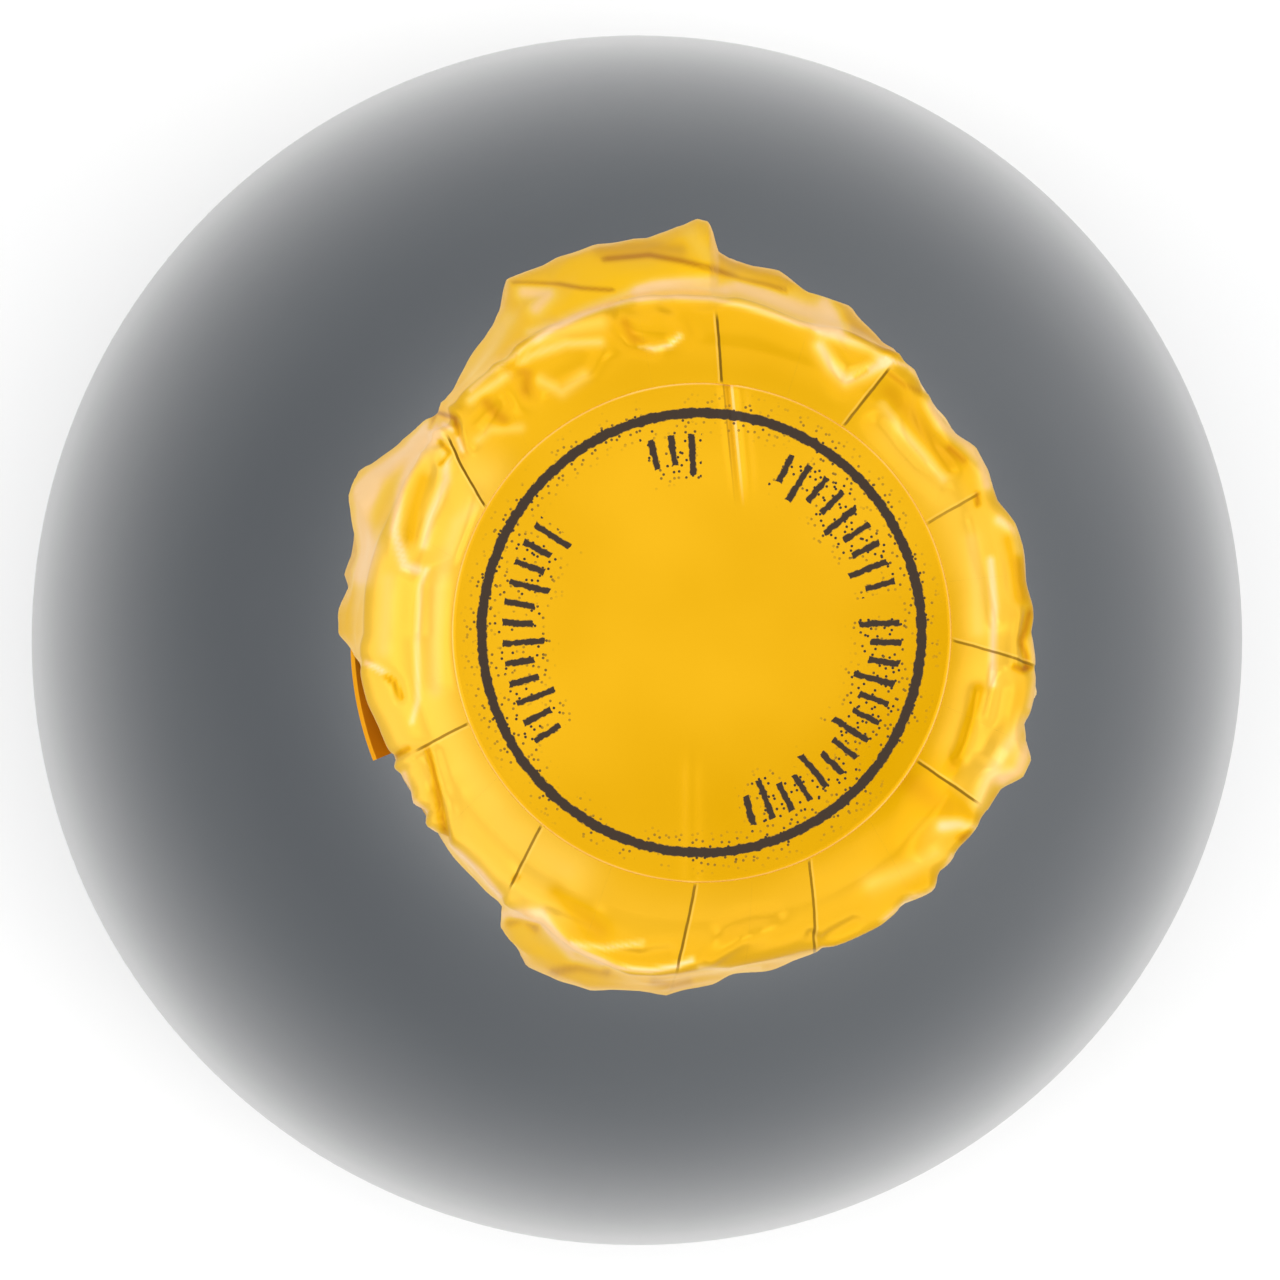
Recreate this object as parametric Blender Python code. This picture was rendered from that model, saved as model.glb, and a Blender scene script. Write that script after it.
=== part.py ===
"""Sparkling wine bottle, corked, wired and capped, as an assembly of its real pieces.

Metres, +Z up, origin at the middle of the base. The front label faces -Y.
"""
import math

import bmesh
import bpy
from mathutils import Vector

# Fits
FIT_GAP = 0.0003

# Glass body, from the base up
BOTTLE_HEIGHT = 0.300
BODY_RADIUS = 0.044
BODY_TOP = 0.112
HEEL_ROUNDING = 0.006
BEARING_WIDTH = 0.005
PUNT_HEIGHT = 0.030
PUNT_TIP_RADIUS = 0.004
GLASS_WALL = 0.0056
GLASS_BOTTOM = 0.006
NECK_RADIUS = 0.0137
NECK_TAPER = 0.003
SHOULDER_CURVE_SHARE = 1.05

# Glass mouth, from the lip down
BORE_RADIUS = 0.0088
BORE_WIDENING = 0.0003
BORE_STRAIGHT = 0.019
LIP_ROUNDING = 0.0008
BEAD_STEP = 0.0007
BEAD_HEIGHT = 0.0045
GROOVE_DEPTH = 0.0005
GROOVE_HEIGHT = 0.0045
RING_STEP = 0.0013
RING_HEIGHT = 0.0085
NECK_STRAIGHT = 0.0045

# Gas space between the wine and the cork
HEADSPACE_HEIGHT = 0.0505

# Cork
CORK_INSERT = 0.024
CORK_DISC_THICKNESS = 0.0057
CORK_HEAD_RADIUS = 0.0150
CORK_HEAD_HEIGHT = 0.0172
CORK_WAIST_RADIUS = 0.0128
CORK_FLARE_SHARE = 0.28
CORK_EDGE = 0.0014

# Wirehood plate
PLATE_RADIUS = 0.0153
PLATE_THICKNESS = 0.0006
PLATE_RIM_HEIGHT = 0.0019
PLATE_DISH_RADIUS = 0.0112
PLATE_DISH_RISE = 0.0003

# Wirehood legs: four bent wires whose neighbouring strands are twisted together
LEG_COUNT = 4
LEG_WIRE_RADIUS = 0.0004
LEG_TURNS = 3.25
LEG_FIRST_ANGLE = math.radians(41)
LEG_BEND = 0.0012
TOP_RING_RADIUS = 0.0126
TOP_RING_CORNER = 0.0006
EYELET_HALF_HEIGHT = 0.002

# Wirehood collar and its twisted key
COLLAR_WIRE_RADIUS = 0.00055
COLLAR_DROP = 0.0013
COLLAR_BEND = 0.0012
COLLAR_HUG_POWER = 6
KEY_ANGLE = math.radians(176)
KEY_STRAND_OFFSET = 0.00075
KEY_TURNS = 3
KEY_PITCH = 0.0036
KEY_LOOP_WIDTH = 0.008
KEY_LOOP_HEIGHT = 0.010
KEY_LOOP_OPENING = math.radians(50)

# Foil capsule
FOIL_THICKNESS = 0.0004
TOP_DISC_RADIUS = 0.0150
DISC_OPENING_RADIUS = 0.0132
HEAD_ROUNDING = 0.0022
TUCK_COUNT = 12
TUCK_FIRST_ANGLE = math.radians(-2)
TUCK_SWELL = 0.0007
FLARE_LOW_SHARE = 0.60
FLARE_HIGH_SHARE = 0.80
STRIP_HEIGHT = 0.006
SKIRT_LENGTH = 0.030
TAB_EDGE_MARGIN = 0.0003
TAB_STAND_OFF = 0.0006
TAB_START_ANGLE = math.radians(170)
TAB_END_ANGLE = math.radians(202)

# Main folds of the hood: angle and half width in degrees, height and half height
# as shares of the hood's height, and swell as a share of the head's radius
FOLD_SHARES = (
    (55, 9, 0.62, 0.40, 0.040),
    (76, 14, 0.30, 0.30, 0.115),
    (88, 7, 0.29, 0.16, 0.130),
    (108, 22, 0.30, 0.30, 0.200),
    (154, 13, 0.48, 0.34, 0.120),
    (175, 13, 0.40, 0.36, 0.075),
    (-23, 7, 0.84, 0.16, 0.045),
    (-50, 10, 0.66, 0.34, 0.035),
    (-80, 12, 0.62, 0.36, 0.030),
    (-100, 18, 0.28, 0.28, 0.105),
    (-120, 7, 0.28, 0.26, 0.085),
)

# Labels
LABEL_BOTTOM = 0.024
LABEL_HEIGHT = 0.078
BACK_LABEL_HEIGHT = 0.062
PAPER_THICKNESS = 0.0004
FRONT_LABEL_FACETS = 12
BACK_LABEL_FACETS = 8
FRONT_ANGLE = math.radians(-90)
BACK_ANGLE = math.radians(90)

# Facets and steps
GLASS_FACETS = 36
WINE_FACETS = 36
CORK_FACETS = 32
PLATE_FACETS = 36
HOOD_FACETS = 60
SKIRT_FACETS = 36
SHOULDER_STEPS = 12
ARC_STEPS = 4
PUNT_STEPS = 5
HOOD_WALL_STEPS = 8
TWIST_STEPS_PER_TURN = 7
KEY_STEPS_PER_TURN = 8
EYELET_STEPS = 6
RING_ARC_STEPS = 7
COLLAR_STEPS = 40
LOOP_STEPS = 14
TAB_STEPS = 5
WIRE_BEVEL_STEPS = 1
SHARP_ANGLE = math.radians(35)

# Heights that follow from the values above
BEAD_FOOT = BOTTLE_HEIGHT - BEAD_HEIGHT
GROOVE_FOOT = BEAD_FOOT - GROOVE_HEIGHT
RING_FOOT = GROOVE_FOOT - RING_HEIGHT
NECK_TOP = RING_FOOT - NECK_STRAIGHT
BORE_DEEP_RADIUS = BORE_RADIUS + BORE_WIDENING
BEARING_OUTER = BODY_RADIUS - HEEL_ROUNDING
BEARING_INNER = BEARING_OUTER - BEARING_WIDTH
CORK_FOOT = BOTTLE_HEIGHT - CORK_INSERT
WINE_LEVEL = CORK_FOOT - HEADSPACE_HEIGHT
CORK_SHAFT_RADIUS = BORE_RADIUS - FIT_GAP
CORK_HEAD_FOOT = BOTTLE_HEIGHT + FIT_GAP
CORK_TOP = CORK_HEAD_FOOT + CORK_HEAD_HEIGHT
PLATE_FOOT = CORK_TOP + FIT_GAP
PLATE_TOP = PLATE_FOOT + PLATE_THICKNESS
WIRE_TOP = PLATE_TOP + FIT_GAP + LEG_WIRE_RADIUS
DISC_FOOT = WIRE_TOP + LEG_WIRE_RADIUS + FIT_GAP
DISC_TOP = DISC_FOOT + FOIL_THICKNESS
HOOD_TOP = DISC_TOP + FIT_GAP + FOIL_THICKNESS
COLLAR_HEIGHT = RING_FOOT - COLLAR_DROP
EYELET_TOP = COLLAR_HEIGHT + EYELET_HALF_HEIGHT
EYELET_FOOT = COLLAR_HEIGHT - EYELET_HALF_HEIGHT
HOOD_FOOT = EYELET_FOOT - LEG_WIRE_RADIUS
HOOD_HEIGHT = HOOD_TOP - HOOD_FOOT
STRIP_TOP = HOOD_FOOT - FIT_GAP
STRIP_FOOT = STRIP_TOP - STRIP_HEIGHT
SKIRT_TOP = STRIP_FOOT - FIT_GAP
SKIRT_FOOT = SKIRT_TOP - SKIRT_LENGTH

# Radii that follow from the values above
RING_RADIUS = NECK_RADIUS + RING_STEP
GROOVE_RADIUS = NECK_RADIUS - GROOVE_DEPTH
BEAD_RADIUS = NECK_RADIUS + BEAD_STEP
STRAND_OFFSET = LEG_WIRE_RADIUS + FIT_GAP / 2
LEG_REACH = STRAND_OFFSET + LEG_WIRE_RADIUS
LEG_RADIUS = max(RING_RADIUS, PLATE_RADIUS, CORK_HEAD_RADIUS) + FIT_GAP + LEG_REACH
EYELET_OFFSET = COLLAR_WIRE_RADIUS + FIT_GAP + LEG_WIRE_RADIUS
EYELET_CLEAR_RADIUS = max(RING_RADIUS, CORK_HEAD_RADIUS) + FIT_GAP + LEG_WIRE_RADIUS
EYELET_RADIUS = EYELET_CLEAR_RADIUS + EYELET_OFFSET
EYELET_REACH = EYELET_OFFSET + LEG_WIRE_RADIUS
COLLAR_HUG_RADIUS = NECK_RADIUS + FIT_GAP + COLLAR_WIRE_RADIUS
KEY_REACH = KEY_STRAND_OFFSET + COLLAR_WIRE_RADIUS
KEY_RADIUS = RING_RADIUS + FIT_GAP + KEY_REACH
HEAD_INNER_RADIUS = LEG_RADIUS + LEG_REACH + FIT_GAP
FLARE_INNER_RADIUS = max(EYELET_RADIUS + EYELET_REACH, KEY_RADIUS + KEY_REACH) + FIT_GAP
HEAD_RADIUS = HEAD_INNER_RADIUS + FOIL_THICKNESS
FLARE_RADIUS = FLARE_INNER_RADIUS + FOIL_THICKNESS
TAB_RADIUS = FLARE_RADIUS + FIT_GAP + FOIL_THICKNESS / 2


def clear_scene():
    """Remove every object that the file already holds."""
    for thing in list(bpy.data.objects):
        bpy.data.objects.remove(thing, do_unlink=True)


def make_material(name, colour, roughness, metallic=0.0):
    """A plain Principled material."""
    material = bpy.data.materials.new(name)
    material.use_nodes = True
    shader = material.node_tree.nodes["Principled BSDF"]
    shader.inputs["Base Color"].default_value = (*colour, 1.0)
    shader.inputs["Roughness"].default_value = roughness
    shader.inputs["Metallic"].default_value = metallic
    material.diffuse_color = (*colour, 1.0)
    return material


def blend(low, high, share):
    """The value that lies a share of the way from low to high."""
    return low + (high - low) * share


def rise(value, low, high):
    """A smooth step from 0 at low to 1 at high."""
    share = min(max((value - low) / (high - low), 0.0), 1.0)
    return share * share * (3 - 2 * share)


def hump(distance, half_width):
    """A smooth hump: 1 at its middle, 0 at half_width and beyond."""
    if abs(distance) >= half_width:
        return 0.0
    return math.cos(math.pi / 2 * distance / half_width) ** 2


def angle_between(angle, other):
    """The signed turn from other to angle, between -pi and pi."""
    return (angle - other + math.pi) % math.tau - math.pi


def circle(radius, height, facets):
    """One level ring of points about the bottle's axis."""
    turns = (math.tau * index / facets for index in range(facets))
    return [(radius * math.cos(turn), radius * math.sin(turn), height) for turn in turns]


def link_object(name, data, material, parent=None):
    """Put an object in the scene, with its shape in world place and its parent's origin."""
    piece = bpy.data.objects.new(name, data)
    data.materials.append(material)
    bpy.context.scene.collection.objects.link(piece)
    if parent:
        piece.parent = parent
        piece.location = -Vector(parent["place"])
    return piece


def loft(name, rings, material, parent=None, joined=False):
    """A closed solid through rings of points; its ends are capped, or joined to each other."""
    shape = bmesh.new()
    rows = [[shape.verts.new(point) for point in ring] for ring in rings]
    pairs = list(zip(rows, rows[1:]))
    if joined:
        pairs.append((rows[-1], rows[0]))
    for row, following in pairs:
        for index, vert in enumerate(row):
            after = (index + 1) % len(row)
            shape.faces.new((vert, row[after], following[after], following[index]))
    if not joined:
        shape.faces.new(rows[0])
        shape.faces.new(rows[-1])
    bmesh.ops.recalc_face_normals(shape, faces=shape.faces)
    mesh = bpy.data.meshes.new(name)
    shape.to_mesh(mesh)
    shape.free()
    mesh.shade_smooth()
    mesh.set_sharp_from_angle(angle=SHARP_ANGLE)
    return link_object(name, mesh, material, parent)


def turned(name, profile, facets, material, parent=None, joined=False):
    """A solid of revolution from an outline of (radius, height) points."""
    rings = [circle(radius, height, facets) for radius, height in profile]
    return loft(name, rings, material, parent, joined)


def wire(name, points, radius, material, parent):
    """An unbroken round wire along a chain of points."""
    path = bpy.data.curves.new(name, "CURVE")
    path.dimensions = "3D"
    path.bevel_depth = radius
    path.bevel_resolution = WIRE_BEVEL_STEPS
    path.use_fill_caps = True
    spline = path.splines.new("POLY")
    spline.points.add(len(points) - 1)
    for knot, point in zip(spline.points, points):
        knot.co = (*point, 1.0)
    return link_object(name, path, material, parent)


def joint_empty(name, place, parent=None):
    """An empty on a joint's axis, which carries the pieces that the joint moves."""
    empty = bpy.data.objects.new(name, None)
    empty["place"] = place
    bpy.context.scene.collection.objects.link(empty)
    empty.location = place
    if parent:
        empty.parent = parent
        empty.location = Vector(place) - Vector(parent["place"])
    return empty


def shoulder_heights():
    """Levels of the glass between the straight body and the neck."""
    return [blend(BODY_TOP, NECK_TOP, step / SHOULDER_STEPS) for step in range(SHOULDER_STEPS + 1)]


def smooth_shoulder(height):
    """Outer radius of the shoulder and neck, from a cosine and a slight taper."""
    share = (height - BODY_TOP) / (NECK_TOP - BODY_TOP)
    fall = (1 + math.cos(math.pi * share ** SHOULDER_CURVE_SHARE)) / 2
    swell = BODY_RADIUS - NECK_RADIUS - NECK_TAPER
    return NECK_RADIUS + NECK_TAPER * (1 - share) + swell * fall


def glass_radius(height):
    """Outer radius of the faceted glass at a height between body top and ring."""
    levels = shoulder_heights()
    if height >= levels[-1]:
        return NECK_RADIUS
    for low, high in zip(levels, levels[1:]):
        if height <= high:
            share = (height - low) / (high - low)
            return blend(smooth_shoulder(low), smooth_shoulder(high), share)
    return NECK_RADIUS


def inner_radius(height):
    """Radius of the hollow at a shoulder level: the wall eases into the neck's wall."""
    share = (height - BODY_TOP) / (NECK_TOP - BODY_TOP)
    neck_wall = NECK_RADIUS - BORE_DEEP_RADIUS
    return smooth_shoulder(height) - blend(GLASS_WALL, neck_wall, share)


def punt_profile(lift):
    """The dome under the bottle, from its tip out to the bearing ring, raised by lift."""
    shares = [step / PUNT_STEPS for step in range(PUNT_STEPS + 1)]
    return [
        (blend(PUNT_TIP_RADIUS, BEARING_INNER, share), lift + PUNT_HEIGHT * math.cos(math.pi / 2 * share))
        for share in shares
    ]


def quarter_arc(middle_radius, middle_height, rounding):
    """A quarter round from straight below its middle to straight out from it."""
    angles = [math.pi / 2 * step / ARC_STEPS for step in range(ARC_STEPS + 1)]
    return [
        (middle_radius + rounding * math.sin(angle), middle_height - rounding * math.cos(angle))
        for angle in angles
    ]


def inner_floor_profile(gap):
    """Floor of the hollow, from the punt's tip to the straight wall, moved in by a gap."""
    wall_radius = BODY_RADIUS - GLASS_WALL
    rounding = wall_radius - BEARING_INNER
    floor = punt_profile(GLASS_BOTTOM + gap)
    heel = quarter_arc(BEARING_INNER, GLASS_BOTTOM + rounding, rounding - gap)
    return floor + heel[1:]


def make_glass(material):
    """The bottle: punt, heel, body, shoulder, neck and the moulded mouth."""
    outside = punt_profile(0)
    outside += quarter_arc(BEARING_OUTER, HEEL_ROUNDING, HEEL_ROUNDING)
    outside += [(smooth_shoulder(height), height) for height in shoulder_heights()]
    outside += [
        (NECK_RADIUS, RING_FOOT),
        (RING_RADIUS, RING_FOOT + LIP_ROUNDING),
        (RING_RADIUS, GROOVE_FOOT - LIP_ROUNDING),
        (GROOVE_RADIUS, GROOVE_FOOT),
        (GROOVE_RADIUS, BEAD_FOOT - LIP_ROUNDING),
        (BEAD_RADIUS, BEAD_FOOT),
        (BEAD_RADIUS, BOTTLE_HEIGHT - LIP_ROUNDING),
        (BEAD_RADIUS - LIP_ROUNDING, BOTTLE_HEIGHT),
        (BORE_RADIUS + LIP_ROUNDING, BOTTLE_HEIGHT),
        (BORE_RADIUS, BOTTLE_HEIGHT - LIP_ROUNDING),
        (BORE_RADIUS, BOTTLE_HEIGHT - BORE_STRAIGHT),
    ]
    inside = inner_floor_profile(0)
    inside += [(inner_radius(height), height) for height in shoulder_heights()]
    return turned("bottle_glass", outside + inside[::-1], GLASS_FACETS, material)


def make_wine(material):
    """The wine, which fills the hollow up to its level in the neck."""
    profile = inner_floor_profile(FIT_GAP)
    levels = [height for height in shoulder_heights() if height < WINE_LEVEL]
    profile += [(inner_radius(height) - FIT_GAP, height) for height in levels]
    profile.append((inner_radius(WINE_LEVEL) - FIT_GAP, WINE_LEVEL))
    return turned("wine", profile, WINE_FACETS, material)


def make_cork(granules, natural, parent):
    """A pressed cork body with a swollen head, and two discs of natural cork under it."""
    disc_step = CORK_DISC_THICKNESS + FIT_GAP
    for name, rank in (("cork_disc_lower", 0), ("cork_disc_upper", 1)):
        foot = CORK_FOOT + rank * disc_step
        profile = [(CORK_SHAFT_RADIUS, foot), (CORK_SHAFT_RADIUS, foot + CORK_DISC_THICKNESS)]
        turned(name, profile, CORK_FACETS, natural, parent)
    profile = [
        (CORK_SHAFT_RADIUS, CORK_FOOT + 2 * disc_step),
        (CORK_SHAFT_RADIUS, CORK_HEAD_FOOT),
        (CORK_WAIST_RADIUS, CORK_HEAD_FOOT),
        (CORK_HEAD_RADIUS, blend(CORK_HEAD_FOOT, CORK_TOP, CORK_FLARE_SHARE)),
        (CORK_HEAD_RADIUS, CORK_TOP - PLATE_RIM_HEIGHT - CORK_EDGE),
        (CORK_HEAD_RADIUS - CORK_EDGE, CORK_TOP - PLATE_RIM_HEIGHT + FIT_GAP),
        (CORK_HEAD_RADIUS - 2 * CORK_EDGE, CORK_TOP),
    ]
    return turned("cork_body", profile, CORK_FACETS, granules, parent)


def make_plate(material, parent):
    """The thin metal cap under the wires, with a turned-down rim and a slightly raised middle."""
    inner = PLATE_RADIUS - PLATE_THICKNESS
    profile = [
        (PLATE_DISH_RADIUS, PLATE_FOOT + PLATE_DISH_RISE),
        (PLATE_DISH_RADIUS + PLATE_THICKNESS, PLATE_FOOT),
        (inner, PLATE_FOOT),
        (inner, PLATE_FOOT - PLATE_RIM_HEIGHT + PLATE_THICKNESS),
        (PLATE_RADIUS, PLATE_FOOT - PLATE_RIM_HEIGHT + PLATE_THICKNESS),
        (PLATE_RADIUS, PLATE_TOP - PLATE_THICKNESS / 2),
        (PLATE_RADIUS - PLATE_THICKNESS / 2, PLATE_TOP),
        (PLATE_DISH_RADIUS + PLATE_THICKNESS, PLATE_TOP),
        (PLATE_DISH_RADIUS, PLATE_TOP + PLATE_DISH_RISE),
    ]
    return turned("crown_plate", profile, PLATE_FACETS, material, parent)


def outwards(angle):
    """Unit vector away from the axis at an angle."""
    return Vector((math.cos(angle), math.sin(angle), 0))


def sideways(angle):
    """Unit vector along a circle about the axis at an angle."""
    return Vector((-math.sin(angle), math.cos(angle), 0))


def strand_points(leg_angle, side):
    """One strand of a twisted leg, from the end of its eyelet up and in to the top ring."""
    out, along = outwards(leg_angle), sideways(leg_angle)
    twist_top = WIRE_TOP - LEG_BEND
    twist_steps = round(LEG_TURNS * TWIST_STEPS_PER_TURN)
    places = [
        (blend(EYELET_FOOT, EYELET_TOP, step / EYELET_STEPS), LEG_TURNS)
        for step in range(EYELET_STEPS)
    ]
    places += [
        (blend(EYELET_TOP, twist_top, step / twist_steps), LEG_TURNS * (1 - step / twist_steps))
        for step in range(twist_steps + 1)
    ]
    points = []
    for height, turns in places:
        spread = hump(height - COLLAR_HEIGHT, EYELET_HALF_HEIGHT)
        radius = blend(LEG_RADIUS, EYELET_RADIUS, spread)
        offset = side * blend(STRAND_OFFSET, EYELET_OFFSET, spread)
        turn = math.tau * turns
        place = (radius + offset * math.sin(turn)) * out + offset * math.cos(turn) * along
        points.append(place + Vector((0, 0, height)))
    bend = LEG_BEND * math.sin(math.pi / 4)
    runs = (
        (LEG_RADIUS - LEG_BEND + bend, twist_top + bend),
        (LEG_RADIUS - LEG_BEND, WIRE_TOP),
        (TOP_RING_RADIUS + TOP_RING_CORNER, WIRE_TOP),
    )
    for radius, height in runs:
        points.append(radius * out + side * STRAND_OFFSET * along + Vector((0, 0, height)))
    return points


def make_legs(material, parent):
    """Four unbroken wires: half of one leg, a quarter of the top ring, half of the next leg."""
    corner = (STRAND_OFFSET + TOP_RING_CORNER) / TOP_RING_RADIUS
    step_angle = math.tau / LEG_COUNT
    for rank in range(LEG_COUNT):
        start = LEG_FIRST_ANGLE + rank * step_angle
        end = start + step_angle
        arc = [
            blend(start + corner, end - corner, step / RING_ARC_STEPS)
            for step in range(RING_ARC_STEPS + 1)
        ]
        points = strand_points(start, 1)
        points += [TOP_RING_RADIUS * outwards(turn) + Vector((0, 0, WIRE_TOP)) for turn in arc]
        points += strand_points(end, -1)[::-1]
        wire(f"wirehood_wire_{rank + 1}", points, LEG_WIRE_RADIUS, material, parent)


def collar_radius(angle):
    """The collar hugs the neck and bows out through each eyelet and to the key."""
    radius = COLLAR_HUG_RADIUS
    for rank in range(LEG_COUNT):
        turn = angle_between(angle, LEG_FIRST_ANGLE + math.tau * rank / LEG_COUNT)
        if abs(turn) < math.pi / LEG_COUNT:
            bow = math.cos(turn * LEG_COUNT / 2) ** COLLAR_HUG_POWER
            radius += (EYELET_RADIUS - COLLAR_HUG_RADIUS) * bow
    turn = angle_between(angle, KEY_ANGLE)
    if abs(turn) < math.pi / LEG_COUNT:
        radius += (KEY_RADIUS - COLLAR_HUG_RADIUS) * math.cos(turn * LEG_COUNT / 2) ** COLLAR_HUG_POWER
    return radius


def key_place(across, reach, height):
    """A point of the key: across it, out from its middle, and up."""
    place = (KEY_RADIUS + reach) * outwards(KEY_ANGLE) + across * sideways(KEY_ANGLE)
    return place + Vector((0, 0, height))


def key_strand(side):
    """One strand of the key, from the collar's bend to the top of the twist."""
    foot = COLLAR_HEIGHT + COLLAR_BEND
    inset = COLLAR_BEND * (1 - math.cos(math.pi / 4))
    points = [
        key_place(side * (KEY_STRAND_OFFSET + inset), 0, COLLAR_HEIGHT + inset),
        key_place(side * KEY_STRAND_OFFSET, 0, foot),
    ]
    steps = KEY_TURNS * KEY_STEPS_PER_TURN
    for step in range(1, steps + 1):
        turn = math.tau * KEY_TURNS * step / steps
        across = side * KEY_STRAND_OFFSET * math.cos(turn)
        reach = side * KEY_STRAND_OFFSET * math.sin(turn)
        points.append(key_place(across, reach, foot + KEY_PITCH * KEY_TURNS * step / steps))
    return points


def make_collar(material, parent):
    """The collar wire under the glass ring, its ends twisted into a key with a loop."""
    start = (KEY_STRAND_OFFSET + COLLAR_BEND) / KEY_RADIUS
    points = key_strand(1)[::-1]
    for step in range(COLLAR_STEPS + 1):
        angle = KEY_ANGLE + blend(start, math.tau - start, step / COLLAR_STEPS)
        points.append(collar_radius(angle) * outwards(angle) + Vector((0, 0, COLLAR_HEIGHT)))
    points += key_strand(-1)
    twist_top = COLLAR_HEIGHT + COLLAR_BEND + KEY_TURNS * KEY_PITCH
    loop_middle = twist_top + COLLAR_WIRE_RADIUS + KEY_LOOP_HEIGHT / 2
    first = math.tau * 3 / 4 - KEY_LOOP_OPENING / 2
    last = KEY_LOOP_OPENING / 2 - math.tau / 4
    for step in range(LOOP_STEPS + 1):
        turn = blend(first, last, step / LOOP_STEPS)
        across = KEY_LOOP_WIDTH / 2 * math.cos(turn)
        points.append(key_place(across, 0, loop_middle + KEY_LOOP_HEIGHT / 2 * math.sin(turn)))
    return wire("collar_wire", points, COLLAR_WIRE_RADIUS, material, parent)


def hood_wall_radius(angle, height):
    """Outer radius of the hood: head, flare, gathers between the tucks, and the main folds."""
    share = (height - HOOD_FOOT) / HOOD_HEIGHT
    radius = blend(FLARE_RADIUS, HEAD_RADIUS, rise(share, FLARE_LOW_SHARE, FLARE_HIGH_SHARE))
    gather = (1 - math.cos(TUCK_COUNT * (angle - TUCK_FIRST_ANGLE))) / 2
    radius += TUCK_SWELL * gather
    for fold_angle, half_width, middle_share, half_share, swell_share in FOLD_SHARES:
        turn = angle_between(angle, math.radians(fold_angle))
        size = hump(turn, math.radians(half_width)) * hump(share - middle_share, half_share)
        radius += swell_share * HEAD_RADIUS * size
    return radius


def hood_skin(inset):
    """Rings of the hood's skin, from the disc opening out and down, moved in by inset."""
    angles = [math.tau * index / HOOD_FACETS for index in range(HOOD_FACETS)]
    rings = [circle(DISC_OPENING_RADIUS, HOOD_TOP - inset, HOOD_FACETS)]
    edge = HOOD_TOP - HEAD_ROUNDING
    places = []
    for step in range(ARC_STEPS):
        turn = math.pi / 2 * step / ARC_STEPS
        drop = HEAD_ROUNDING * (1 - math.cos(turn)) + inset * math.cos(turn)
        draw_in = HEAD_ROUNDING * (1 - math.sin(turn)) + inset * math.sin(turn)
        places.append((edge, HOOD_TOP - drop, draw_in))
    for step in range(HOOD_WALL_STEPS + 1):
        height = blend(edge, HOOD_FOOT, step / HOOD_WALL_STEPS)
        places.append((height, height, inset))
    for level, height, draw_in in places:
        radii = [hood_wall_radius(angle, level) - draw_in for angle in angles]
        rings.append([
            (radius * math.cos(angle), radius * math.sin(angle), height)
            for radius, angle in zip(radii, angles)
        ])
    return rings


def make_hood(material, parent):
    """The upper part of the capsule, gathered over the wires, and the disc under its opening."""
    rings = hood_skin(0) + hood_skin(FOIL_THICKNESS)[::-1]
    loft("foil_hood", rings, material, parent, joined=True)
    profile = [(TOP_DISC_RADIUS, DISC_FOOT), (TOP_DISC_RADIUS, DISC_TOP)]
    return turned("foil_top_disc", profile, PLATE_FACETS, material, parent)


def strip_radius(height):
    """Outer radius of the tear strip, which narrows from the hood's edge to the neck."""
    foot_radius = glass_radius(STRIP_FOOT) + FIT_GAP + FOIL_THICKNESS
    return blend(foot_radius, FLARE_RADIUS, (height - STRIP_FOOT) / STRIP_HEIGHT)


def make_strip(material):
    """The tear strip: a cone of foil between the hood and the skirt."""
    profile = [
        (strip_radius(STRIP_TOP), STRIP_TOP),
        (strip_radius(STRIP_FOOT), STRIP_FOOT),
        (strip_radius(STRIP_FOOT) - FOIL_THICKNESS, STRIP_FOOT),
        (strip_radius(STRIP_TOP) - FOIL_THICKNESS, STRIP_TOP),
    ]
    return turned("tear_strip", profile, SKIRT_FACETS, material, joined=True)


def make_tab(material, parent):
    """The loose end of the tear strip, standing off a little towards its tip."""
    sections = []
    for step in range(TAB_STEPS + 1):
        share = step / TAB_STEPS
        angle = blend(TAB_START_ANGLE, TAB_END_ANGLE, share)
        stand_off = FIT_GAP + TAB_STAND_OFF * share
        section = []
        for height, depth in (
            (STRIP_TOP - TAB_EDGE_MARGIN, 0),
            (STRIP_TOP - TAB_EDGE_MARGIN, FOIL_THICKNESS),
            (STRIP_FOOT + TAB_EDGE_MARGIN, FOIL_THICKNESS),
            (STRIP_FOOT + TAB_EDGE_MARGIN, 0),
        ):
            radius = strip_radius(height) + stand_off + depth
            section.append(radius * outwards(angle) + Vector((0, 0, height)))
        sections.append(section)
    return loft("tear_tab", sections, material, parent)


def make_skirt(material):
    """The lower part of the capsule, close round the neck and shoulder."""
    inner_levels = [level for level in shoulder_heights() if SKIRT_FOOT < level < SKIRT_TOP]
    levels = [SKIRT_TOP, *inner_levels[::-1], SKIRT_FOOT]
    inside = [(glass_radius(level) + FIT_GAP, level) for level in levels]
    outside = [(radius + FOIL_THICKNESS, level) for radius, level in inside]
    return turned("foil_skirt", outside + inside[::-1], SKIRT_FACETS, material, joined=True)


def make_label(name, middle_angle, facets, height, material):
    """A plain paper label, bent over whole facets of the straight body."""
    inner = BODY_RADIUS + FIT_GAP
    outer = inner + PAPER_THICKNESS
    corners = (
        (inner, LABEL_BOTTOM),
        (outer, LABEL_BOTTOM),
        (outer, LABEL_BOTTOM + height),
        (inner, LABEL_BOTTOM + height),
    )
    sections = []
    for step in range(facets + 1):
        angle = middle_angle + math.tau / GLASS_FACETS * (step - facets / 2)
        sections.append([radius * outwards(angle) + Vector((0, 0, level)) for radius, level in corners])
    return loft(name, sections, material)


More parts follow.
